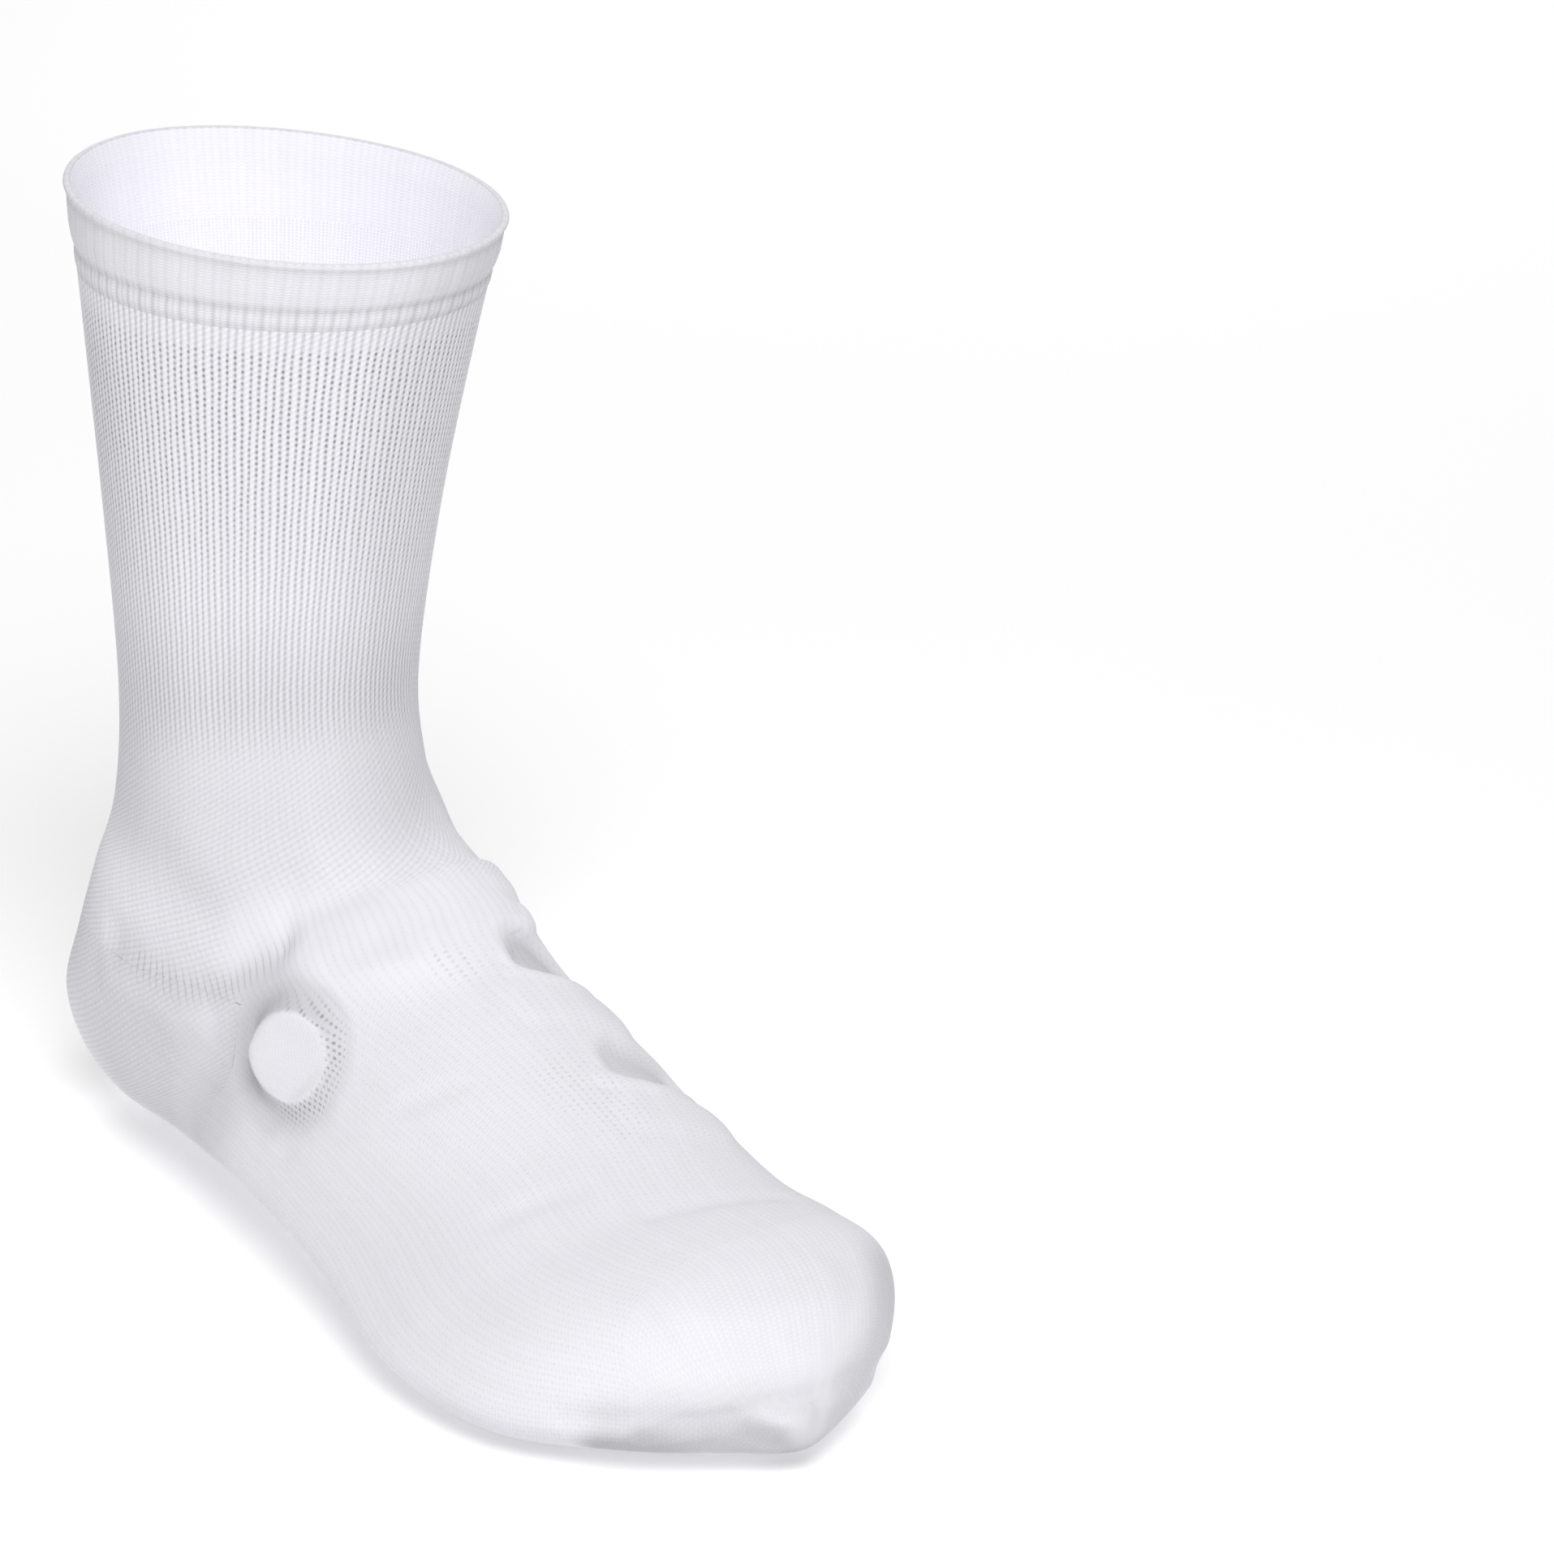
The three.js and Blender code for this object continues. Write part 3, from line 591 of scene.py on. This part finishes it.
class Graph:
    """Short calls for wiring a material's nodes."""

    def __init__(self, material):
        self.tree = material.node_tree
        self.tree.nodes.clear()

    def node(self, kind, inputs=(), **settings):
        made = self.tree.nodes.new(kind)
        for key, value in settings.items():
            setattr(made, key, value)
        for key, value in dict(inputs).items():
            self.set(made.inputs[key], value)
        return made

    def set(self, socket, value):
        if isinstance(value, bpy.types.NodeSocket):
            self.tree.links.new(value, socket)
        elif value is not None:
            socket.default_value = value

    def noise(self, spot, scale, detail):
        made = self.node("ShaderNodeTexNoise", {"Vector": spot, "Scale": scale, "Detail": detail})
        return made.outputs["Fac"]

    def attribute(self, name):
        return self.node("ShaderNodeAttribute", attribute_name=name).outputs["Fac"]

    def math(self, operation, a, b=None, c=None):
        made = self.node("ShaderNodeMath", operation=operation)
        for socket, value in zip(made.inputs, (a, b, c)):
            self.set(socket, value)
        return made.outputs[0]

    def ramp(self, value, low, high, to_low=0.0, to_high=1.0):
        made = self.node("ShaderNodeMapRange", interpolation_type="SMOOTHSTEP")
        for socket, number in zip(made.inputs, (value, low, high, to_low, to_high)):
            self.set(socket, number)
        return made.outputs[0]

    def wave(self, value, turns=1.0, phase=0.0):
        """0 to 1 and back once for each whole step of value times turns; 1 at the whole numbers."""
        angle = self.math("MULTIPLY_ADD", value, 2 * math.pi * turns, phase)
        return self.math("MULTIPLY_ADD", self.math("COSINE", angle), 0.5, 0.5)


PAINTED_SHADE_DARK = 0.60  # darkness of the painted shade where the shade is 1
FUZZ_SCALE = 1600.0
FUZZ_BUMP = 0.03
PATCH_SCALE = 60.0


def knit_material(name, colour, look):
    """A knit drawn from the map of wales and courses. look holds the strengths of its features."""
    material = bpy.data.materials.new(name)
    material.use_nodes = True
    g = Graph(material)
    place = g.node("ShaderNodeSeparateXYZ", {0: g.node("ShaderNodeUVMap", uv_map="knit").outputs[0]})
    wale, course = place.outputs[0], place.outputs[1]
    openness, ribbing, parting = (g.attribute(key) for key in ("openness", "ribbing", "parting"))
    # shade is painted shade: it darkens the yarn wherever shade falls on the sock
    shade, stitch = g.attribute("shade"), g.attribute("stitch")
    spot = g.node("ShaderNodeTexCoord").outputs["Object"]

    # an eyelet in each groove at each course, no two quite alike
    groove_line = g.math("ROUND", wale)
    beside = g.math("DIVIDE", g.math("SUBTRACT", wale, groove_line), look["eyelet_width"])
    offset = g.math("MULTIPLY_ADD", groove_line, look["climb"], course)
    above = g.math("DIVIDE", g.math("SUBTRACT", offset, g.math("ROUND", offset)), look["eyelet_height"])
    away = g.math("SQRT", g.math("ADD", g.math("MULTIPLY", beside, beside), g.math("MULTIPLY", above, above)))
    cell = g.node("ShaderNodeCombineXYZ", {0: groove_line, 1: g.math("ROUND", offset)})
    luck = g.node("ShaderNodeTexWhiteNoise", {"Vector": cell.outputs[0]}, noise_dimensions="2D").outputs[0]
    dot = g.math("MULTIPLY", g.ramp(away, 0.35, 1.25, 1.0, 0.0), g.math("MULTIPLY_ADD", luck, 0.7, 0.5))
    eyelet = g.math("MULTIPLY", dot, openness)

    # grooves between wales, gaps where they part, rows of beads along courses, and slanting loops
    groove = g.math("MULTIPLY", g.math("POWER", g.wave(wale, look["wale_turns"]), 2.0), ribbing)
    pair = g.math("MULTIPLY", g.math("POWER", g.wave(wale, 0.5), 2.0), ribbing)
    gap = g.math("MULTIPLY", g.math("POWER", g.wave(wale), 10.0), parting)
    line = g.math("MULTIPLY_ADD", wale, look["row_climb"], g.math("MULTIPLY", course, look["rows"]))
    row = g.math("MULTIPLY", g.math("POWER", g.wave(line), 2.0), stitch)
    turn = g.math("MULTIPLY", g.math("ROUND", g.math("ADD", line, 0.5)), 0.5)
    shifted = g.math("MULTIPLY_ADD", wale, look["beads"], turn)
    bead = g.math("MULTIPLY", g.wave(shifted), g.math("SUBTRACT", 1.0, g.wave(line)))
    between = g.math("MULTIPLY", g.math("SUBTRACT", 1.0, bead), stitch)
    loop_slant = g.math("ABSOLUTE", g.math("SUBTRACT", g.math("FRACT", wale), 0.5))
    slanted = g.wave(g.math("MULTIPLY_ADD", loop_slant, 0.9, g.math("MULTIPLY", course, look["loops"])))
    loops = g.math("MULTIPLY", slanted, stitch)

    # the unevenness of the yarn
    fuzz = g.noise(spot, FUZZ_SCALE, 2.0)
    patches = g.noise(spot, PATCH_SCALE, 3.0)
    strand = g.node("ShaderNodeTexWhiteNoise", {"W": g.math("FLOOR", wale)}, noise_dimensions="1D").outputs[0]

    brightness = 1.0
    for amount, feature in (
        (PAINTED_SHADE_DARK, shade),
        (look["eyelet_dark"], eyelet),
        (look["groove_dark"], groove),
        (look["pair_dark"], pair),
        (look["gap_dark"], gap),
        (look["row_dark"], row),
        (look["bead_dark"], between),
        (look["loop_dark"], loops),
        (look["fuzz"], fuzz),
        (look["patches"], patches),
        (look["strands"], strand),
    ):
        if amount:
            brightness = g.math("MULTIPLY", brightness, g.math("MULTIPLY_ADD", feature, -amount, 1.0))
    tint = g.node("ShaderNodeVectorMath", {0: colour}, operation="SCALE")
    g.set(tint.inputs["Scale"], brightness)

    height = g.math("MULTIPLY", eyelet, -look["eyelet_bump"])
    for amount, feature in (
        (-look["groove_bump"], groove),
        (-look["pair_bump"], pair),
        (-look["row_bump"], row),
        (-look["bead_bump"], between),
        (look["loop_bump"], loops),
        (FUZZ_BUMP, fuzz),
    ):
        height = g.math("MULTIPLY_ADD", feature, amount, height)
    bump = g.node("ShaderNodeBump", {"Height": height, "Distance": MM, "Strength": 1.0})
    # The glow is painted light: the yarn emits its own colour.
    surface = g.node("ShaderNodeBsdfPrincipled", {
        "Base Color": tint.outputs[0],
        "Normal": bump.outputs[0],
        "Roughness": 0.86,
        "Specular IOR Level": 0.25,
        "Emission Color": tint.outputs[0],
        "Emission Strength": look["painted_glow"],
    })
    output = g.node("ShaderNodeOutputMaterial")
    g.tree.links.new(surface.outputs[0], output.inputs[0])
    return material


def linear(*levels):
    """A colour from its sRGB levels out of 255."""
    def channel(level):
        share = level / 255
        return share / 12.92 if share <= 0.04045 else ((share + 0.055) / 1.055) ** 2.4
    return tuple(channel(level) for level in levels)


# Strengths of a knit's features, for colour (dark) and relief in millimetres (bump). climb and
# row_climb are the share of a course by which eyelets and rows climb at each wale. wale_turns is
# grooves to a wale, rows is rows to a course, beads is beads to a wale, and loops is loops to a course.
LOOK = {
    "climb": 2 / 3, "eyelet_width": 0.17, "eyelet_height": 0.30, "eyelet_dark": 0.40, "eyelet_bump": 0.16,
    "wale_turns": 1.0, "groove_dark": 0.24, "groove_bump": 0.10,
    "pair_dark": 0.0, "pair_bump": 0.0, "gap_dark": 0.3,
    "rows": 1.0, "row_climb": 0.0, "row_dark": 0.0, "row_bump": 0.0,
    "beads": 1.0, "bead_dark": 0.0, "bead_bump": 0.0,
    "loops": 2.0, "loop_dark": 0.05, "loop_bump": 0.06,
    "fuzz": 0.03, "patches": 0.04, "strands": 0.02, "painted_glow": 0.0,
}
# The inner faces carry painted light: they glow a little, standing in for the light that comes through the
# thin white knit. They have two fine ribs to a wale.
INSIDE_LOOK = {
    **LOOK, "eyelet_dark": 0.0, "gap_dark": 0.0, "wale_turns": 2.0, "groove_dark": 0.08, "groove_bump": 0.06,
    "loop_dark": 0.02, "painted_glow": 0.20,
}

YARN = linear(245, 244, 250)
INSIDE_YARN = linear(238, 237, 243)

NO_LOOPS = {**LOOK, "loop_dark": 0.0, "loop_bump": 0.0}

MATERIALS = {
    "leg": knit_material("leg_mesh_knit", YARN, {
        **NO_LOOPS, "row_climb": 2 / 3, "row_dark": 0.06, "row_bump": 0.05,
        "bead_dark": 0.04, "bead_bump": 0.04,
    }),
    "cuff": knit_material("welt_rib_knit", YARN, {
        **LOOK, "eyelet_dark": 0.0, "eyelet_bump": 0.0, "groove_dark": 0.10, "groove_bump": 0.06,
        "pair_dark": 0.10, "pair_bump": 0.06, "strands": 0.04,
    }),
    "foot": knit_material("foot_knit", YARN, {
        **NO_LOOPS, "climb": 0.5, "eyelet_width": 0.24, "groove_dark": 0.08, "rows": 1.6, "row_dark": 0.02,
        "row_bump": 0.02, "beads": 2.0, "bead_dark": 0.03, "bead_bump": 0.04,
    }),
    "heel": knit_material("heel_knit", YARN, {
        **NO_LOOPS, "groove_dark": 0.02, "groove_bump": 0.02, "row_dark": 0.03, "row_bump": 0.05,
        "bead_dark": 0.06, "bead_bump": 0.08,
    }),
    "toe": knit_material("toe_knit", YARN, {
        **LOOK, "groove_dark": 0.03, "groove_bump": 0.02, "loop_dark": 0.04, "loop_bump": 0.03,
    }),
    "hem": knit_material("hem_rib_knit", YARN, {**LOOK, "eyelet_dark": 0.0}),
    "inside": knit_material("inner_face_knit_painted_glow", INSIDE_YARN, INSIDE_LOOK),
    "cuff_inside": knit_material("inner_welt_knit_painted_glow", INSIDE_YARN, {**INSIDE_LOOK, "wale_turns": 1.0}),
}

# ------------------------------------------------------------------ pieces

BODY = "root"
# The welt's outer face from the rim down: share of its height, lift off the tube, and painted shade, darkest
# under the rim and in the grooves.
CUFF_PROFILE = np.array([
    (0.00, 0.10, 0.00),
    (0.05, 0.05, 0.15),
    (0.12, -0.50, 0.26),
    (0.25, -0.30, 0.12),
    (0.45, -0.10, 0.10),
    (0.60, -0.30, 0.10),
    (0.72, -0.80, 0.30),
    (0.82, -0.50, 0.06),
    (0.90, -0.50, 0.10),
    (0.97, -0.78, 0.26),
    (1.00, -0.78, 0.26),
])
FOLD_RADIUS = 0.9  # of the welt's fold at the rim
EVEN_KNIT = 0.12  # ribbing of the ankle and foot, where the knit is stretched over the shoe


def seat(piece, node):
    """The piece rides on the part's one body and stands for its CAD node."""
    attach(piece, BODY)
    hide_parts(node)


def texture_of(openness, ribbing, points, shade=0):
    """Openness of the eyelets, strength of the ribs and stitches, parting of the wales, and painted shade."""
    return {
        "openness": np.clip(openness, 0, 1),
        "ribbing": np.broadcast_to(ribbing, points.shape[:-1]),
        "parting": np.clip(sum_of_rows(points, PARTING), 0, 1),
        "stitch": 1 - np.clip(sum_of_rows(points, SMOOTH), 0, 1),
        "shade": np.clip(sum_of_rows(points, PAINTED_SHADE) + dial_painted_shade(points) + shade, 0, 1),
    }


def dial_painted_shade(points):
    """The disc, painted a little darker than the foot, and a ring of painted shade round it, darkest behind
    the disc.
    """
    _, past_rim, forwards = place_by_dial(points)
    reach = 12 - 5 * forwards
    ring = smoothstep(past_rim, -0.3, 1.0) * (1 - smoothstep(past_rim / reach, 0.2, 1))
    return 0.08 * (1 - smoothstep(past_rim, -1, 0)) + ring * (0.42 - 0.12 * forwards)


def shut(stations, points):
    """Plain knit: no eyelets, and even ribs."""
    return texture_of(np.zeros(points.shape[:-1]), 1.0, points)


def leg_texture(stations, points):
    """Closed for a few courses under the welt, then open mesh, which gives way first to ribs and then,
    at the ankle, to an even knit."""
    started = smoothstep(stations, WELT_EDGE + 0.17, WELT_EDGE + 0.21)
    upper = 1 - smoothstep(stations, 1.3, 2.7)
    ribbing = EVEN_KNIT + (1 - EVEN_KNIT) * (1 - smoothstep(stations, 2.9, 3.7))
    return texture_of(started * (0.1 + 0.9 * upper) + sum_of_rows(points, STRETCH), ribbing, points)


def foot_texture(stations, points):
    """Nearly closed, but open in rows round the front of the dial, where the disc stretches it."""
    _, past_rim, forwards = place_by_dial(points)
    on_disc = 1 - smoothstep(past_rim, -1, 0.5)
    ring = smoothstep(past_rim, -0.3, 0.5) * (1 - smoothstep(past_rim, 2, 6))
    ring_in_front = ring * smoothstep(forwards, -0.6, 0.5)
    openness = 0.12 * (1 - on_disc) + ring_in_front + sum_of_rows(points, STRETCH)
    return texture_of(openness, EVEN_KNIT * (1 - 0.7 * on_disc), points)


def make_cuff():
    """The welt, one band closed on itself: up its inner face, over the fold and down outside."""
    height = mean_length(rim, welt_edge)
    fold = FOLD_RADIUS / height
    rows_up, rows_over, rows_down = 12, 8, 34
    over = np.pi * even(rows_over)
    shares = np.concatenate([
        1 - even(rows_up)[:-1] * (1 - fold),
        fold * (1 - np.sin(over)),
        fold + even(rows_down)[1:] * (1 - fold),
    ])
    row = np.arange(len(shares))
    goes_up = row < rows_up
    outside = row > rows_up + 1 + (rows_over + 1) / 2
    below_rim = shares * height
    above_edge = height - below_rim
    walked = np.cumsum(np.abs(np.diff(shares, prepend=shares[0]))) * height

    # the wall narrows to the fold, and its inner face meets the leg's at the lower edge
    inner_depth = KNIT["welt"] - WELT_PROUD
    depths = np.concatenate([
        np.full(rows_up, inner_depth),
        FOLD_RADIUS * (1 + np.cos(over)) - WELT_PROUD,
        np.full(rows_down, -WELT_PROUD),
    ])
    at_fold = (KNIT["welt"] - 2 * FOLD_RADIUS) * (1 - smoothstep(below_rim, FOLD_RADIUS, 5))
    at_leg = (inner_depth - KNIT["leg"] + 0.05) * (1 - smoothstep(above_edge, 0, 3))
    shares_of_profile, lifts, painted_shades = CUFF_PROFILE.T
    depths = depths - np.where(goes_up, at_fold + at_leg, 0)
    depths = depths - np.where(outside, np.interp(shares, shares_of_profile, lifts), 0)
    # painted shade of the welt's outer face, from the profile
    shade = np.where(outside, np.interp(shares, shares_of_profile, painted_shades), 0)

    def places(stations, wale, course):
        return plain_places(wale, np.broadcast_to(walked[:, None] / PITCH, stations.shape))

    def cuff_texture(stations, points):
        near_edge = 1 - smoothstep(above_edge, 5, 8)
        ribbing = np.where(outside, 0.35 + 0.65 * near_edge, 0.4)
        return texture_of(np.zeros(points.shape[:-1]), ribbing[:, None], points, shade[:, None])

    weave = {**PLAIN, "rib": 0.06, "pair": 0.08}
    grid = wall_grid(rim, welt_edge, shares, depths[:, None], weave, cuff_texture, places=places)
    points = grid["points"].reshape(-1, 3)
    index = np.arange(len(points)).reshape(grid["points"].shape[:2])
    faces, turned = band_faces(index, grid["left"], grid["right"])
    inside = np.repeat(row <= rows_up, index.shape[1])
    materials = [MATERIALS["cuff"], MATERIALS["cuff_inside"]]
    return mesh_object("knitted_cuff", points, faces, turned, inside, grid["texture"], materials)


def make_leg():
    inner_rows = 1 - (1 - even(20)) ** 1.6  # closest together over the shoe's collar
    outer = wall_grid(welt_edge, leg_edge, even(140), 0, {**PLAIN, "rib": 0.16}, leg_texture)
    inner = wall_grid(welt_edge, leg_edge, inner_rows, KNIT["leg"], PLAIN, shut)
    return shell("knitted_leg", outer, inner, True, [MATERIALS["leg"], MATERIALS["inside"]])


def make_foot():
    rows = even(112) * (0.65 + 0.35 * even(112))  # closest together over the dial
    outer = wall_grid(foot_edge, toe_edge, rows, 0, {**PLAIN, "rib": 0.12}, foot_texture, start=1)
    inner = wall_grid(foot_edge, toe_edge, even(44), KNIT["foot"], PLAIN, shut, start=1)
    foot = shell("knitted_foot", outer, inner, True, [MATERIALS["foot"], MATERIALS["inside"]])
    return cut_cleat_opening(foot)


def make_heel():
    """The heel pocket, between its two corners. Its rows are counted from halfway down."""
    top = edge_stations(leg_edge, COLUMN_WALES)
    columns = np.flatnonzero(pocket_share(angle_of(top, COLUMN_WALES)) > 0)
    wales = COLUMN_WALES[columns[0] - 1:columns[-1] + 2]
    _, lengths = lay_courses(leg_edge, foot_edge, wales, even(2))

    def places(stations, wale, course):
        share = np.linspace(0, 1, stations.shape[0])[:, None]
        return plain_places(wale, (share - 0.5) * lengths / PITCH)

    weave = {**PLAIN, "rib": 0.03, "row": 0.14}
    outer = wall_grid(leg_edge, foot_edge, even(130), 0, weave, shut, wales, places)
    inner = wall_grid(leg_edge, foot_edge, even(24), KNIT["heel"], PLAIN, shut, wales, places)
    return shell("knitted_heel_pocket", outer, inner, False, [MATERIALS["heel"], MATERIALS["inside"]])


def toe_texture(stations, points):
    """Faint ribs that run out where they meet at the point."""
    return texture_of(np.zeros(points.shape[:-1]), 1 - smoothstep(stations, 16.4, 17.6), points)


def make_toe():
    """The toe. Its wales run out to the seam as the tube narrows, so that the knit keeps its gauge."""
    inner_start, outer_start = half_lengths(edge_stations(toe_edge, COLUMN_WALES))
    inner_side = COLUMN_WALES <= HALF_WALES
    quarter = HALF_WALES / 2

    def places(stations, wale, course):
        inner_now, outer_now = half_lengths(stations)
        narrowing = np.where(inner_side, inner_now / inner_start, outer_now / outer_start)
        over = np.where(inner_side, wale * narrowing, WALES - (WALES - wale) * narrowing)
        below = HALF_WALES + (wale - HALF_WALES) * narrowing
        left_over = (wale < quarter) | (wale >= WALES - quarter)
        right_over = (wale <= quarter) | (wale > WALES - quarter)
        return {
            "left": np.stack([np.where(left_over, over, below), course], axis=-1),
            "right": np.stack([np.where(right_over, over, below), course], axis=-1),
        }

    outer = wall_grid(
        toe_edge, toe_point, even(56), 0, {**PLAIN, "rib": 0.03}, toe_texture, places=places, pitch=TOE_PITCH,
    )
    inner = wall_grid(toe_edge, toe_point, even(20), KNIT["toe"], PLAIN, shut, pitch=TOE_PITCH)
    return shell("knitted_toe_cap", outer, inner, True, [MATERIALS["toe"], MATERIALS["inside"]])


def sole_address(x, y):
    """Where on the sole points seen from below lie, by a few steps of Newton's method."""
    station, angle = np.full(x.shape, 13.0), np.full(x.shape, 180.0)
    step, turn = 0.01, 1.0
    for _ in range(8):
        here = tube_point(station, angle)
        along = (tube_point(station + step, angle) - here) / step
        across = (tube_point(station, angle + turn) - here) / turn
        miss_x, miss_y = x - here[..., 0], y - here[..., 1]
        area = along[..., 0] * across[..., 1] - along[..., 1] * across[..., 0]
        station = station + (miss_x * across[..., 1] - miss_y * across[..., 0]) / area
        angle = angle + (along[..., 0] * miss_y - along[..., 1] * miss_x) / area
    return station, angle


def cleat_oval(turn):
    """Points of the cleat opening's oval, seen from below."""
    return CLEAT["x"] + CLEAT["half_length"] * np.cos(turn), CLEAT["y"] + CLEAT["half_width"] * np.sin(turn)


def make_hem():
    """The rolled hem round the cleat opening: a ring whose rounded section laps over the cut edge."""
    lap = 0.6
    wales, around, courses = 128, 28, 8
    turn = np.arange(wales * PER_WALE) / (wales * PER_WALE) * 2 * np.pi
    section = np.arange(around) / around * 2 * np.pi
    side, height = signed_power(np.cos(section), 0.8), signed_power(np.sin(section), 0.8)
    half_width = (CLEAT["hem_width"] + lap) / 2
    half_height = KNIT["foot"] / 2 + CLEAT["hem_rise"]
    wale = np.broadcast_to(turn / (2 * np.pi) * wales, (around, len(turn)))
    ribs = 0.10 * wave(wale)
    outwards = lap - half_width * (1 - side[:, None]) - ribs * side[:, None]
    depth = KNIT["foot"] / 2 - height[:, None] * (half_height - ribs)
    away = np.stack([CLEAT["half_width"] * np.cos(turn), CLEAT["half_length"] * np.sin(turn)])
    away = away / np.linalg.norm(away, axis=0)
    x, y = cleat_oval(turn)
    station, angle = sole_address(x + outwards * away[0], y + outwards * away[1])
    points = skin(station, angle, -depth)
    course = np.broadcast_to((np.arange(around) / around * courses)[:, None], wale.shape)
    places = np.stack([wale, course], axis=-1)
    faces, turned = band_faces(np.arange(wale.size).reshape(wale.shape), places, places)
    faces, turned = faces[:, ::-1], turned[:, ::-1]
    inside = np.zeros(len(faces), bool)
    texture = shut(station, points)
    return mesh_object(
        "knitted_cleat_hem", points.reshape(-1, 3), faces, turned, inside, texture, [MATERIALS["hem"]],
    )


def cut_cleat_opening(foot):
    """Cuts the oval through the sole with an upright prism, and keeps the resulting mesh."""
    segments, bottom, top = 128, -30.0, 14.0
    x, y = cleat_oval(np.arange(segments) / segments * 2 * np.pi)
    rings = [np.stack([x, y, np.full(segments, height)], axis=1) for height in (bottom, top)]
    ends = [list(range(segments))[::-1], list(range(segments, 2 * segments))]
    sides = [
        (i, (i + 1) % segments, segments + (i + 1) % segments, segments + i) for i in range(segments)
    ]
    mesh = bpy.data.meshes.new("cleat_cutter")
    mesh.from_pydata((np.concatenate(rings) * MM).tolist(), [], ends + sides)
    cutter = bpy.data.objects.new("cleat_cutter", mesh)
    bpy.context.scene.collection.objects.link(cutter)
    cut = foot.modifiers.new("cleat_opening", "BOOLEAN")
    cut.operation = "DIFFERENCE"
    cut.solver = "MANIFOLD"
    cut.object = cutter
    depsgraph = bpy.context.evaluated_depsgraph_get()
    foot.data = bpy.data.meshes.new_from_object(foot.evaluated_get(depsgraph))
    foot.modifiers.clear()
    bpy.data.objects.remove(cutter)
    return foot


for make, node, slot in (
    (make_cuff, "cuff", "welt_rib"),
    (make_hem, "cleat_hem", "hem_rib"),
    (make_leg, "leg", "leg_mesh"),
    (make_foot, "foot", "foot_knit"),
    (make_heel, "heel_pocket", "heel_knit"),
    (make_toe, "toe_cap", "toe_knit"),
):
    seat(make(), node)

# ------------------------------------------------------------------ stage, light and camera

FLOOR_DROP = 1.0  # how far the floor lies below the sole
FLOOR_HALF = 6.0  # metres
FLOOR_GLOW = 0.25


def floor_material():
    material = bpy.data.materials.new("pale_floor")
    material.use_nodes = True
    g = Graph(material)
    spot = g.node("ShaderNodeTexCoord").outputs["Object"]
    cloud = g.node("ShaderNodeTexNoise", {"Vector": spot, "Scale": 3.0}).outputs["Fac"]
    tone = g.node("ShaderNodeMix", {"Factor": cloud}, data_type="RGBA")
    tone.inputs["A"].default_value = (0.90, 0.90, 0.90, 1)
    tone.inputs["B"].default_value = (0.92, 0.92, 0.92, 1)
    surface = g.node("ShaderNodeBsdfPrincipled", {
        "Base Color": tone.outputs["Result"],
        "Roughness": 0.9,
        "Emission Color": (1, 1, 1, 1),
        "Emission Strength": FLOOR_GLOW,
    })
    output = g.node("ShaderNodeOutputMaterial")
    g.tree.links.new(surface.outputs[0], output.inputs[0])
    return material


def make_floor():
    mesh = bpy.data.meshes.new("floor")
    height = CAD_BOX[0].z - FLOOR_DROP * MM
    corners = [(x * FLOOR_HALF, y * FLOOR_HALF, height) for x, y in ((-1, -1), (1, -1), (1, 1), (-1, 1))]
    mesh.from_pydata(corners, [], [(0, 1, 2, 3)])
    mesh.materials.append(floor_material())
    floor = bpy.data.objects.new("floor", mesh)
    bpy.context.scene.collection.objects.link(floor)


CENTRE = Vector((50, 0, 88)) * MM

LIGHTS = [
    # name azimuth elevation distance size power
    ("key", 60, 45, 2.2, 1.0, 31.5),
    ("back", 225, 35, 2.2, 1.2, 13.0),
    ("far_side", -40, 20, 2.2, 1.2, 4.0),
]
EVEN_LIGHT = 0.27


def make_lights():
    for name, azimuth, elevation, distance, size, power in LIGHTS:
        data = bpy.data.lights.new(name, "AREA")
        data.shape = "DISK"
        data.size = size
        data.energy = power
        lamp = bpy.data.objects.new(name, data)
        back = direction(azimuth, elevation)
        lamp.location = CENTRE + back * distance
        lamp.rotation_mode = "QUATERNION"
        lamp.rotation_quaternion = back.to_track_quat("Z", "Y")
        bpy.context.scene.collection.objects.link(lamp)
    world = bpy.data.worlds.new("studio")
    world.use_nodes = True
    g = Graph(world)
    background = g.node("ShaderNodeBackground", {"Color": (1, 1, 1, 1), "Strength": EVEN_LIGHT})
    output = g.node("ShaderNodeOutputWorld")
    g.tree.links.new(background.outputs[0], output.inputs[0])
    bpy.context.scene.world = world


# Degrees and millimetres. across and up are how far CENTRE lies right of the lens's axis and above it.
CAMERA = {
    "azimuth": 52.38, "elevation": 20.10, "roll": -0.74, "distance": 1463.6,
    "across": -89.81, "up": -13.86, "lens": 142.7,
}


def make_camera():
    data = bpy.data.cameras.new("camera")
    data.lens = CAMERA["lens"]
    camera = bpy.data.objects.new("camera", data)
    back = direction(CAMERA["azimuth"], CAMERA["elevation"])
    azimuth = math.radians(CAMERA["azimuth"])
    right = Vector((math.cos(azimuth), math.sin(azimuth), 0))
    up = back.cross(right)
    place = CENTRE + (back * CAMERA["distance"] - right * CAMERA["across"] - up * CAMERA["up"]) * MM
    roll = math.radians(CAMERA["roll"])
    turned_right = right * math.cos(roll) - up * math.sin(roll)
    turned_up = right * math.sin(roll) + up * math.cos(roll)
    turn = Matrix((turned_right, turned_up, back)).transposed()
    camera.matrix_world = Matrix.Translation(place) @ turn.to_4x4()
    bpy.context.scene.collection.objects.link(camera)
    bpy.context.scene.camera = camera


make_floor()
make_lights()
make_camera()
bpy.context.scene.view_settings.view_transform = "Standard"
